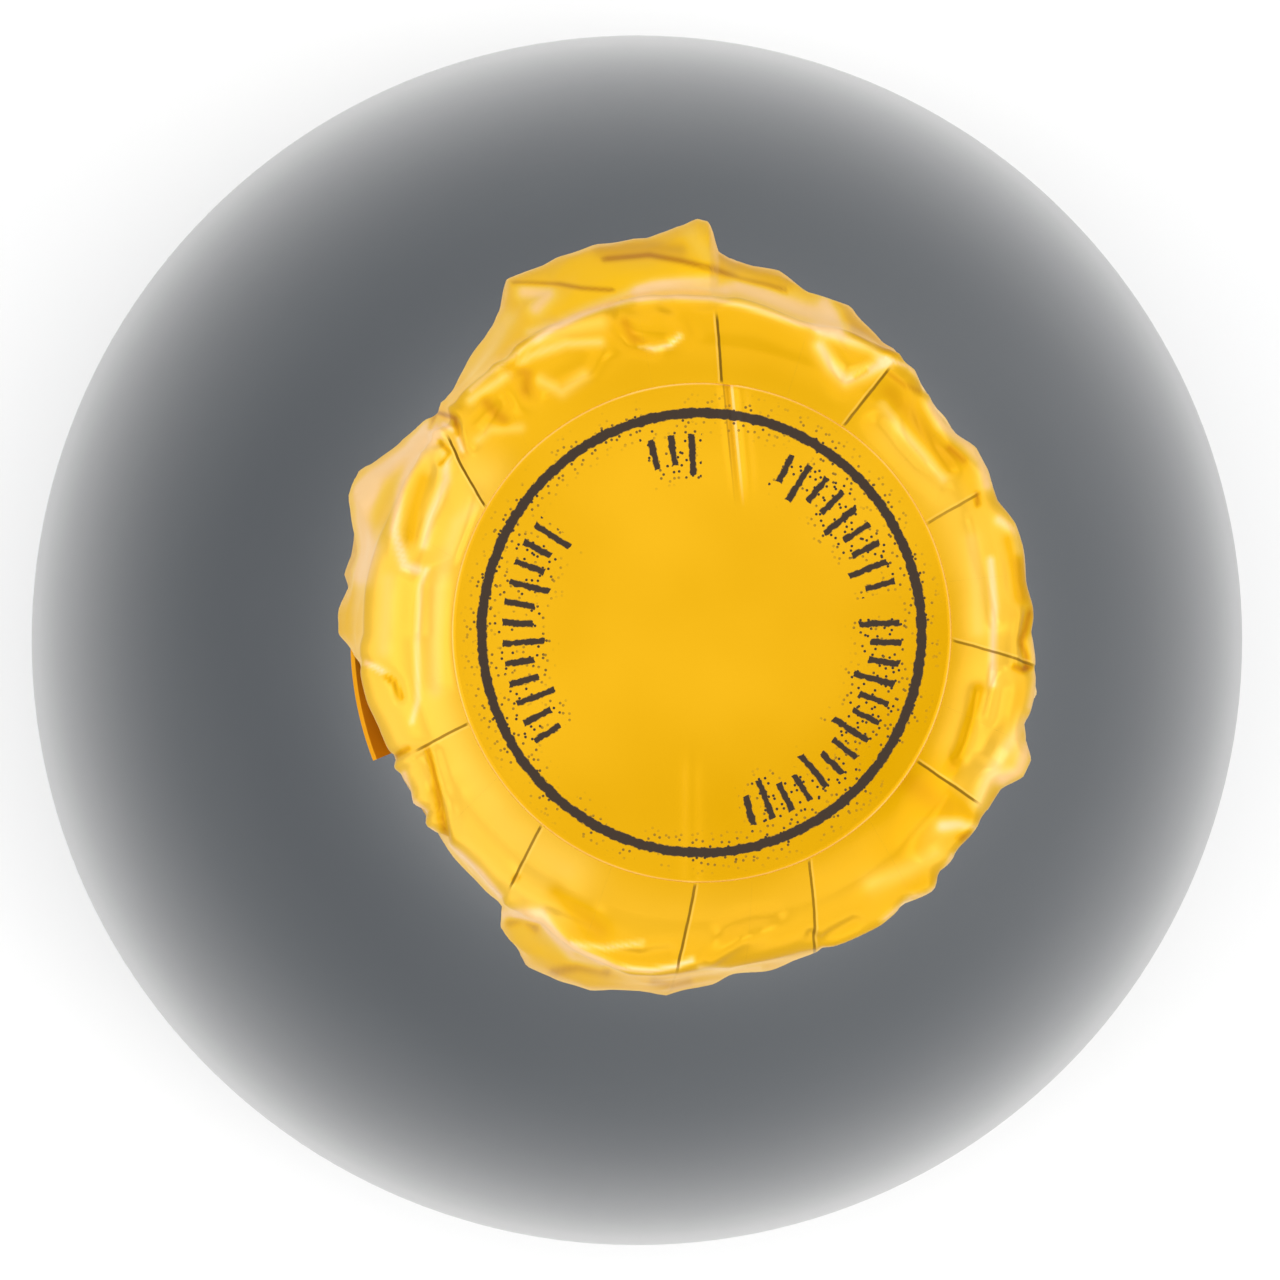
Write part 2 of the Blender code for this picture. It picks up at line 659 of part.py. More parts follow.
def build():
    """Make every piece of the bottle."""
    clear_scene()
    glass = make_material("dark_green_glass", (0.020, 0.030, 0.028), 0.08)
    wine = make_material("pale_wine", (0.75, 0.62, 0.28), 0.05)
    granules = make_material("pressed_cork", (0.55, 0.36, 0.20), 0.85)
    natural = make_material("natural_cork", (0.66, 0.45, 0.26), 0.80)
    plate = make_material("lacquered_plate", (0.78, 0.55, 0.10), 0.30, 0.80)
    steel = make_material("galvanised_wire", (0.62, 0.62, 0.60), 0.35, 1.0)
    foil = make_material("yellow_foil", (0.86, 0.50, 0.03), 0.28, 0.15)
    paper = make_material("label_paper", (0.88, 0.86, 0.80), 0.70)

    cork_axis = joint_empty("cork_pull_axis", (0, 0, CORK_FOOT))
    hood_axis = joint_empty("wirehood_lift_axis", (0, 0, PLATE_FOOT), cork_axis)
    foil_axis = joint_empty("foil_lift_axis", (0, 0, HOOD_TOP), hood_axis)
    tab_middle = (STRIP_FOOT + STRIP_TOP) / 2
    tab_place = TAB_RADIUS * outwards(TAB_START_ANGLE) + Vector((0, 0, tab_middle))
    tab_axis = joint_empty("tear_tab_axis", tuple(tab_place))

    make_glass(glass)
    make_wine(wine)
    make_cork(granules, natural, cork_axis)
    make_plate(plate, hood_axis)
    make_legs(steel, hood_axis)
    make_collar(steel, hood_axis)
    make_hood(foil, foil_axis)
    make_strip(foil)
    make_tab(foil, tab_axis)
    make_skirt(foil)
    make_label("front_label", FRONT_ANGLE, FRONT_LABEL_FACETS, LABEL_HEIGHT, paper)
    make_label("back_label", BACK_ANGLE, BACK_LABEL_FACETS, BACK_LABEL_HEIGHT, paper)


build()
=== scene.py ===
"""Looks of a sparkling wine bottle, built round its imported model."""
import math

import bmesh
import bpy
import numpy as np
from bpy.props import FloatProperty, FloatVectorProperty, IntProperty, PointerProperty
from bpy.types import Operator, Panel, PropertyGroup
from mathutils import Matrix, Vector


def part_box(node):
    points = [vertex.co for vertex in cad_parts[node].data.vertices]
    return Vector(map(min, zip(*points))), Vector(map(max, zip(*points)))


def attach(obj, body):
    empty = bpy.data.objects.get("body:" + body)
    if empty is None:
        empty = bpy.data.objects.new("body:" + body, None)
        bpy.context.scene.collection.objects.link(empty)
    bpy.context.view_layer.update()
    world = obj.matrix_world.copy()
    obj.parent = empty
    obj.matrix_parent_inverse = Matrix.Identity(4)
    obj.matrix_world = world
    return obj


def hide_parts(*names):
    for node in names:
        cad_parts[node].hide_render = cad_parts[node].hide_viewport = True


bl_info = {
    "name": "Sparkling Wine Bottle",
    "version": (1, 0, 0),
    "blender": (4, 5, 0),
    "location": "3D View > Sidebar > Bottle",
    "description": "Glass, cork, wirehood and crumpled foil capsule of a sparkling wine bottle",
    "category": "Add Mesh",
}

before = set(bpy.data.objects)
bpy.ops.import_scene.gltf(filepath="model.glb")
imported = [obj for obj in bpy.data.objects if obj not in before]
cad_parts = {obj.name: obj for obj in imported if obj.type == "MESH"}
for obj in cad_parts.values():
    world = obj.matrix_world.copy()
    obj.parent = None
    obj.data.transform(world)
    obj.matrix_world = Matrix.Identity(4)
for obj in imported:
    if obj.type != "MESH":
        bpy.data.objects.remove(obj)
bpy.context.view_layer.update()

MM = 0.001

# Places read from the frame: the corners of the solids
HOOD_LOW, HOOD_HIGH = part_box("foil_hood")
STRIP_LOW, STRIP_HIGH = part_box("tear_strip")
SKIRT_LOW, SKIRT_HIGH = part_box("foil_skirt")
CORK_LOW, CORK_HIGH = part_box("cork_body")
PLATE_LOW, PLATE_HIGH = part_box("crown_plate")
DISC_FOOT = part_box("foil_top_disc")[0].z
GLASS_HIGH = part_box("bottle_glass")[1]

# Turned pieces end in a tiny flat cap of this radius on the axis
AXIS_GAP = 0.1 * MM
# Vertices of a baked wire that lie closer than this are joined
WELD_DISTANCE = 0.001 * MM

# How finely the meshes are cut: steps round the axis, levels of outlines, steps along wires
ROUND_STEPS = 360
CORK_STEPS = 128
PLATE_STEPS = 160
GLASS_LEVELS = 24
DISC_LEVELS = 90
HOOD_LEVELS = 118
HOOD_INNER_LEVELS = 9
STRIP_LEVELS = 14
SKIRT_LEVELS = 60
TAB_SECTIONS = 25
LABEL_ROWS = 40
LABEL_COLUMNS = 96
EYELET_STEPS = 8
TWIST_STEPS = 10
TOP_RING_STEPS = 14
COLLAR_STEPS = 120
KEY_LOOP_STEPS = 24
FLOOR_SEGMENTS = 96

# Glass
BOTTLE_HEIGHT = GLASS_HIGH.z
BODY_RADIUS = GLASS_HIGH.x
BODY_TOP = 112 * MM
HEEL_ROUNDING = 6 * MM
HEEL_STEPS = 12
BEARING_WIDTH = 5 * MM
PUNT_HEIGHT = 30 * MM
PUNT_TIP_SHARE = 0.02
GLASS_WALL = 5.6 * MM
GLASS_BOTTOM = 6 * MM
NECK_RADIUS = 13.7 * MM
NECK_TAPER = 3 * MM
SHOULDER_CURVE = 1.05
NECK_TOP = 278 * MM
BORE_RADIUS = 8.8 * MM
BORE_DEEP_RADIUS = 9.1 * MM
BORE_FOOT = 281 * MM
BEAD_RADIUS = 14.4 * MM
BEAD_FOOT = 295.5 * MM
GROOVE_RADIUS = 13.2 * MM
GROOVE_FOOT = 291 * MM
RING_RADIUS = 15 * MM
RING_FOOT = 282.5 * MM
MOULD_ROUNDING = 0.8 * MM
MOUTH_ROUNDING = 1.2 * MM

# Cork and plate
CORK_SEAT_GAP = 0.3 * MM
CORK_SEAT_RADIUS = 12.8 * MM
CORK_SWELL_SHARE = 0.30
CORK_SHOULDER = 3.4 * MM
CORK_CROWN_INSET = 2.8 * MM
CORK_CHAMFER = 1.5 * MM
CORK_ROUNDING = 1.0 * MM
CORK_DISC_ROUNDING = 0.3 * MM
PLATE_SHEET = 0.35 * MM
PLATE_RELIEF = 0.3 * MM
PLATE_ROUNDING = 0.3 * MM
PLATE_PRESS_RADII = (10.8 * MM, 11.8 * MM)
PLATE_RISE_RADII = (12.1 * MM, 11.0 * MM, 6.0 * MM)

# Foil
FOIL_THICKNESS = 0.12 * MM
# The foil lies just under the CAD hood's top, so its lumps stay inside the CAD box
FOIL_TOP = HOOD_HIGH.z - 0.13 * MM
DISC_RADIUS = 13.9 * MM
DISC_LIFT = 0.02 * MM
DISC_EDGE_FALL = 0.05 * MM
DISC_EDGE_ROUNDING = 0.10 * MM
DISC_EDGE_INSETS = (0.12 * MM, 0.03 * MM)
DISC_AXIS_GAP = 0.05 * MM
HEAD_RADIUS = 18.2 * MM
FLARE_RADIUS = 18.5 * MM
HEAD_ROUNDING = 2.2 * MM
HEAD_FALL = 0.30 * MM
# The hood's inner skin: inwards and down from the outer one, and its least radius
HOOD_SHEET = 5 * FOIL_THICKNESS
HOOD_SHEET_DROP = 3 * FOIL_THICKNESS
HOOD_INNER_SHARE = 0.99
STRIP_FOOT_RADIUS = NECK_RADIUS + 0.7 * MM
# Upright wrinkles of strip and skirt: cell across and along the axis in millimetres
WRINKLES = (2.6, 12.0)
STRIP_WRINKLE = 0.25 * MM
STRIP_SEED = 21
SKIRT_WRINKLE = 0.22 * MM
SKIRT_SEED = 22
SKIRT_STAND = 0.45 * MM
SKIRT_SHEET = 0.25 * MM
TAB_TURNS = (math.radians(170), math.radians(202))
TAB_INSET = 0.3 * MM
# How far the tab stands off the strip: at its root, where it lifts, and at its free end
TAB_STANDS = (0.35 * MM, 0.85 * MM, 0.15 * MM)

# Labels: how far their outer and inner sides stand off the glass
LABEL_STANDS = (0.25 * MM, 0.05 * MM)
LABEL_HALF_RADIUS = BODY_RADIUS + 0.7 * MM
# The double rule: distance from the label's edge and half width of each line
LABEL_RULES = ((3.0 * MM, 0.35 * MM), (4.4 * MM, 0.12 * MM))
LABEL_RULE_EDGE = 0.05 * MM

# Dent across the printed ring: its place on the disc's edge and its slant
DENT_START = 1.39 * MM
DENT_SLOPE = 0.097
# Soft forms of the disc: width, height, and the two distances between which each fades in
DENT_GROOVE = (0.32 * MM, -0.16 * MM, 6.4 * MM, 10.5 * MM)
DENT_RIDGE = (0.35 * MM, 0.06 * MM, 6.4 * MM, 9.5 * MM)
DENT_RIDGE_OFFSET = 0.75 * MM
DISC_STREAK = (0.5 * MM, 0.05 * MM, 5.5 * MM, 8 * MM)
DISC_STREAK_PLACE = -0.55 * MM
WAVE_CELL = 7 * MM
WAVE_HEIGHT = 0.10 * MM
WAVE_SEED = 5
# Painted shade and highlight along the dent: middle, half width and strength of each
# line, and its colour
DENT_SHADE_AND_HIGHLIGHT = (
    (0.0, 0.17 * MM, 0.28, "fold_shade_colour"),
    (-0.20 * MM, 0.05 * MM, 0.45, "crease_shade_colour"),
    (0.26 * MM, 0.07 * MM, 0.38, "rim_highlight_colour"),
)
# Where the dent's painted shade and highlight fade in
DENT_SHADING_FADE = (7.0 * MM, 10.5 * MM)
# Where the painted highlight on the disc's rim starts and ends, inside its edge
RIM_HIGHLIGHT_INSETS = (0.12 * MM, 0.05 * MM)

# Ink: soft edge, raggedness, and how near ring and strokes the specks lie
INK_EDGE = 0.03 * MM
INK_RAGGED = 0.28 * MM
RING_SPECKS = (0.3 * MM, 1.3 * MM)
STROKE_SPECKS = (1.2 * MM, 2.0 * MM)
# Two strokes of three lie further out and are shorter
SHORT_STROKE_SHIFT = 0.35 * MM
SHORT_STROKE_CUT = 0.3 * MM
# Arcs of plain strokes inside the printed ring: middle and half width in degrees
STROKE_ARCS = ((180, 36), (-36, 42), (39, 27), (99, 9))

# Camera: the photograph looks down on the capsule, its frame fixed on the top's plane
PHOTO_SIZE = 1280
PIXELS_PER_MM = 18.0
RING_CENTRE_PIXEL = (701.8, 632.8)
CAMERA_FOOT_PIXEL = (423.5, 664.9)
CAMERA_DISTANCE = 666 * MM
SENSOR_WIDTH = 36.0
CLIP_RANGE = (0.05, 20)

# Stage: floor, its painted pool of light fading away from the bottle, and the pair of soft lamps
FLOOR_RADIUS = 12.0
FLOOR_DROP = 0.2 * MM
FLOOR_LIGHT_POOL_FADE = (0.055, 0.175)
FLOOR_OUTSIDE_POOL_COLOUR = (0.30, 0.325, 0.36)
LAMP_PLACES = {"key_light": (-0.42, -0.04, 1.30), "fill_light": (0.46, -0.18, 1.30)}
LAMP_SIZES = (0.34, 0.60)
LAMP_AIM = Vector((0, 0, 0.3))

# Crumples of the hood: cell across and along the axis in millimetres, and seed
LONG_FOLDS = (5.2, 15.0, 11)
SHORT_FOLDS = (2.4, 6.0, 12)
SHORT_FOLDS_SHARE = 0.3
SOFT_CELL = 3.2 * MM
SOFT_LIFT = 0.34 * MM
SOFT_SEED = 13
FINE_CELL = 1.6 * MM
FINE_LIFT = 0.05 * MM
FINE_SEED = 14
# How far down the wall the crumples and the walls' painted light take to come in
FOLDS_RUN = 8 * MM
WALL_LIGHT_RUN = 2 * MM
# What the calm arcs take off the crumples
CALM_SHARE = 0.8
# Gap between the mesh's columns beside a seam, and the lap of the foil there
SEAM_HALF_GAP = 0.04 * MM
LAP_WIDTH = 1.5 * MM
LAP_HEIGHT = 0.045 * MM
# Where a seam comes in and fades out and its lap fades out: shares of the way to its end
SEAM_START_SHARES = (-0.02, 0.06)
SEAM_END_SHARES = (0.92, 1.04)
LAP_END_SHARES = (0.95, 1.5)
# The columns' crowding beside the seams: 0 is the most
COLUMN_EASE = 0.12

# Wirehood, as in the solids: leg twist, eyelets, top ring, collar and key
WIRE_SIDES = 12
LEG_COUNT = 4
LEG_FIRST_ANGLE = math.radians(41)
LEG_TURNS = 6.25
LEG_RADIUS = 16.55 * MM
STRAND_OFFSET = 0.42 * MM
EYELET_RADIUS = 16.95 * MM
EYELET_OFFSET = 1.15 * MM
EYELET_HALF_HEIGHT = 2 * MM
LEG_BEND = 1.2 * MM
TOP_RING_RADIUS = 12.6 * MM
TOP_RING_ENTRY = 0.9 * MM
TOP_RING_CORNER = 0.8 * MM
COLLAR_HEIGHT = 281.2 * MM
COLLAR_HUG_RADIUS = 14.55 * MM
COLLAR_BEND = 1.2 * MM
KEY_ANGLE = math.radians(176)
KEY_RADIUS = 16.6 * MM
KEY_STRAND_OFFSET = 0.65 * MM
KEY_TURNS = 3
KEY_PITCH = 3.6 * MM
KEY_LOOP_WIDTH = 8 * MM
KEY_LOOP_HEIGHT = 10 * MM
KEY_LOOP_TURNS = (math.radians(245), math.radians(-65))

# What the settings have in common
COLOUR = {"subtype": "COLOR", "size": 3, "min": 0, "max": 1}
SHARE = {"subtype": "FACTOR", "min": 0, "max": 1}
LENGTH = {"subtype": "DISTANCE", "unit": "LENGTH", "precision": 5, "min": 0}

# Outline of the head, 5 mm below the top: angle in degrees and radius in millimetres
HEAD_OUTLINE = (
    (-177.8, 19), (-173, 19.05), (-168.5, 18.95), (-163.4, 18.6), (-158.5, 18.45), (-152, 18.15),
    (-149.3, 18.45), (-147, 18.05), (-144.9, 18.6), (-141, 18.35), (-134.6, 18.25), (-129.7, 18.4),
    (-125, 18.45), (-119, 18.35), (-111, 18.9), (-102, 19.2), (-97, 19), (-90, 18.5), (-85, 18.75),
    (-73, 18.65), (-67, 18.85), (-58, 18.95), (-53, 18.85), (-48, 19.2), (-45, 18.5), (-41, 18.4),
    (-35, 18.7), (-31, 18.85), (-27.5, 18.9), (-24, 19.7), (-21, 19.7), (-18, 18.95), (-15, 18.85),
    (-11, 18.9), (-6, 18.8), (0, 18.5), (3, 18.7), (9, 18.4), (15, 18.55), (19, 18.5), (24, 18.05),
    (30, 18.35), (34, 18.5), (38, 18.05), (43, 17.95), (47, 18.3), (51, 18.95), (58, 18.85),
    (63, 18.6), (72, 18.2), (83, 18.6), (95, 18.8), (106, 18.8), (117, 18.9), (126, 18.6),
    (134, 18.6), (142, 18.5), (150, 18.6), (160, 18.6), (172, 18.8), (180, 18.8),
)
# Outline of the folds, 14 mm below the top; the photograph hides its right side
LOW_OUTLINE = (
    (-177, 19.2), (-173, 18.7), (-168.5, 18.45), (-158, 18.3), (-146, 18.3), (-134, 18.45),
    (-129, 18.45), (-125.5, 18.4), (-123.7, 19.7), (-120.4, 20.3), (-116.5, 21.35),
    (-111.5, 21.35), (-104.7, 21), (-97, 20.2), (-90, 19.7), (-84, 19.05), (-65, 18.75),
    (-54, 18.7), (-45, 18.4), (-36, 18.8), (-30, 18.8), (-24, 19.6), (-19, 19.1), (-14, 18.6),
    (-6, 18.9), (0, 18.6), (12, 18.05), (20, 17.95), (28, 17.9), (33, 18.3), (40, 17.7),
    (46.3, 17.75), (50, 19.15), (56, 18.85), (61.4, 19.55), (65.4, 20.05), (72, 20.2),
    (77.2, 20.9), (81.3, 20.8), (83.8, 20.9), (86.6, 21.35), (88.4, 23.1), (89.8, 23.35),
    (92, 22.85), (94.5, 22.55), (97, 22.4), (104, 22.9), (112.5, 22.5), (117.9, 22.75),
    (121.2, 21.45), (123.5, 20.95), (126.3, 20.6), (132.3, 19.9), (138.4, 18.95), (141.5, 19.3),
    (147, 19.55), (151.7, 20.25), (153.9, 20.75), (158.5, 20.8), (162, 20.2), (167.4, 19.75),
    (172, 19.65), (176.4, 20), (180, 19.95),
)
# Outline of the hood's foot
FOOT_OUTLINE = (
    (-176, 19), (-168, 18.6), (-130, 18.5), (-112, 18.4), (-90, 19.05), (-60, 19.1), (-40, 18.8),
    (-20, 19.2), (0, 18.8), (20, 18.8), (40, 18.2), (60, 19.15), (90, 19.3), (160, 18.6),
    (180, 19.2),
)
# Where the folds' and the foot's outlines rule: shares of the way down the wall
FOLDS_SHARES = (0.0, 0.32)
FOOT_SHARES = (0.62, 1.0)
# The listed relief and the painted shade and highlights fade out between these depths,
# which the photograph hides
SEEN_DEPTHS = (11 * MM, 16 * MM)
# The walls' painted light, which brightens the steep sides, fades out between these depths
WALL_LIGHT_DEPTHS = (2 * MM, 32 * MM)
# The laps beside the seams fade out this far down the wall
LAP_DEPTHS = (0.5 * MM, 9 * MM)
# Taut parts have fewer crumples: middle and half width in degrees
CALM_ARCS = ((122, 34), (-152, 40))

# Seams of the tucks: angle at the disc's edge, angle and radius at the outer end, depth share
SEAM_SHARES = (
    (-158.8, -157.6, 17.1, 0.8),
    (-129.8, -126.9, 17.5, 0.9),
    (-91.5, -94.1, 18.1, 0.9),
    (-64.7, -70.5, 18.4, 0.8),
    (-30.8, -31.6, 17.5, 0.9),
    (-1.7, -5.6, 18.2, 0.8),
    (25.9, 26.6, 17.2, 0.7),
    (55.5, 54.6, 17.5, 0.9),
    (85.4, 87.3, 17.4, 1.0),
    (118.0, 116.0, 17.0, 0.0),
    (149.8, 142.2, 17.6, 1.1),
    (178.0, 179.0, 16.5, 0.0),
)

# Listed relief of the hood: width in pixels of the photograph, height in millimetres
# (below zero for a dent), and the line of its crest, x and y by turns, in those pixels
STROKES = (
    # thin roll line along the head's edge, from the left round the top
    (7, 0.22, 445, 408, 467, 392, 484, 378, 506, 362, 522, 350, 555, 329, 577, 320, 604, 310, 632,
     302, 673, 298, 714, 299, 745, 305, 771, 315, 802, 325, 838, 331, 849, 336, 875, 354, 896,
     358),
    (9, -0.2, 560, 318, 600, 300, 640, 288, 700, 284, 750, 290, 800, 308),
    # second, softer line inside it
    (8, 0.14, 522, 354, 544, 344, 571, 342, 593, 344, 604, 340),
    (7, 0.1, 658, 315, 687, 312, 705, 315, 721, 312, 736, 306),
    # lump and its hollow at the top
    (12, 0.26, 618, 318, 640, 332, 664, 334),
    (7, -0.22, 611, 312, 613, 328, 628, 344, 652, 350),
    (10, -0.2, 668, 306, 684, 318, 690, 332),
    # dents at the upper left
    (9, -0.3, 516, 368, 524, 382, 530, 394),
    (8, 0.16, 500, 372, 510, 390, 520, 404),
    (8, -0.24, 504, 404, 494, 418, 485, 432),
    (7, 0.16, 484, 412, 474, 420, 468, 432),
    (6, 0.14, 540, 392, 560, 386, 590, 372, 604, 352),
    # knot of the crease at the left
    (6, -0.3, 436, 422, 449, 419, 455, 424, 455, 438, 464, 455),
    (5, 0.22, 446, 410, 460, 414, 466, 428, 468, 446),
    (5, -0.25, 436, 442, 446, 442, 451, 452, 444, 462),
    (5, 0.18, 430, 434, 442, 434, 452, 444),
    # long smooth dent at the left and its rim
    (13, -0.34, 424, 470, 412, 505, 408, 545),
    (6, 0.16, 420, 455, 406, 478, 396, 524, 394, 552, 402, 566, 411, 572),
    (6, 0.14, 440, 468, 438, 500, 424, 530, 414, 560),
    (8, 0.12, 472, 496, 462, 534, 453, 556, 430, 565, 420, 582, 418, 630),
    (12, -0.12, 436, 590, 434, 640, 437, 680),
    # curved dents and crease at the lower left
    (5, -0.16, 364, 662, 378, 668, 389, 675, 398, 684, 400, 698),
    (6, -0.22, 416, 749, 405, 750, 394, 758),
    (6, 0.2, 414, 758, 402, 762, 396, 772),
    (5, -0.26, 425, 748, 432, 778, 442, 812, 445, 838),
    (6, 0.18, 434, 752, 441, 780, 452, 812, 456, 838),
    (9, 0.16, 411, 778, 418, 800, 428, 818),
    # bottom: head's edge above the lower lobe
    (7, 0.26, 508, 902, 519, 913, 542, 920, 554, 930, 577, 947, 597, 959, 626, 969, 654, 970, 677,
     966, 700, 962, 712, 956, 740, 936),
    (9, -0.24, 548, 918, 575, 930, 605, 946, 640, 956, 668, 954),
    (6, 0.14, 560, 924, 590, 940, 620, 948, 640, 948),
    (14, 0.14, 520, 880, 556, 896, 590, 908),
    (9, -0.14, 724, 930, 748, 918, 776, 914),
    (9, 0.18, 712, 956, 736, 944, 760, 932),
    # lower right: rims of the folds
    (6, -0.24, 812, 936, 822, 944, 836, 933, 855, 922),
    (6, 0.18, 820, 954, 840, 944, 870, 930, 896, 912),
    (9, 0.22, 971, 824, 962, 840, 940, 856, 924, 864),
    (12, -0.2, 958, 806, 948, 828, 930, 846),
    (8, 0.2, 948, 858, 934, 880, 916, 892),
    (12, -0.16, 920, 868, 904, 886, 880, 904),
    # right: creases of the two bulges
    (6, -0.24, 1030, 668, 1026, 658, 1023, 641, 1029, 616),
    (6, 0.16, 1012, 664, 1014, 640, 1018, 614),
    (7, 0.14, 978, 692, 974, 717, 966, 744, 960, 757),
    (6, 0.12, 998, 672, 992, 700, 988, 717),
    (10, -0.18, 1004, 690, 998, 722, 984, 752),
    (11, 0.24, 1016, 736, 1000, 756, 984, 776, 976, 800),
    (8, -0.22, 1028, 726, 1010, 742, 996, 760),
    # upper right: facets between the tucks
    (10, 0.22, 886, 373, 902, 386, 914, 400),
    (10, -0.26, 876, 424, 900, 452, 924, 476, 940, 490),
    (9, 0.2, 928, 399, 938, 422, 946, 444, 962, 462, 977, 475),
    (7, -0.22, 916, 404, 926, 430, 934, 448, 950, 470),
    (8, 0.16, 902, 420, 908, 440, 926, 462),
    (9, -0.2, 818, 334, 828, 362, 841, 386, 860, 376, 875, 363),
    (7, 0.18, 832, 340, 848, 366, 862, 362, 884, 360),
    (7, 0.14, 972, 519, 980, 552, 990, 588, 996, 620),
    (9, -0.16, 1000, 530, 1010, 560, 1014, 592),
)
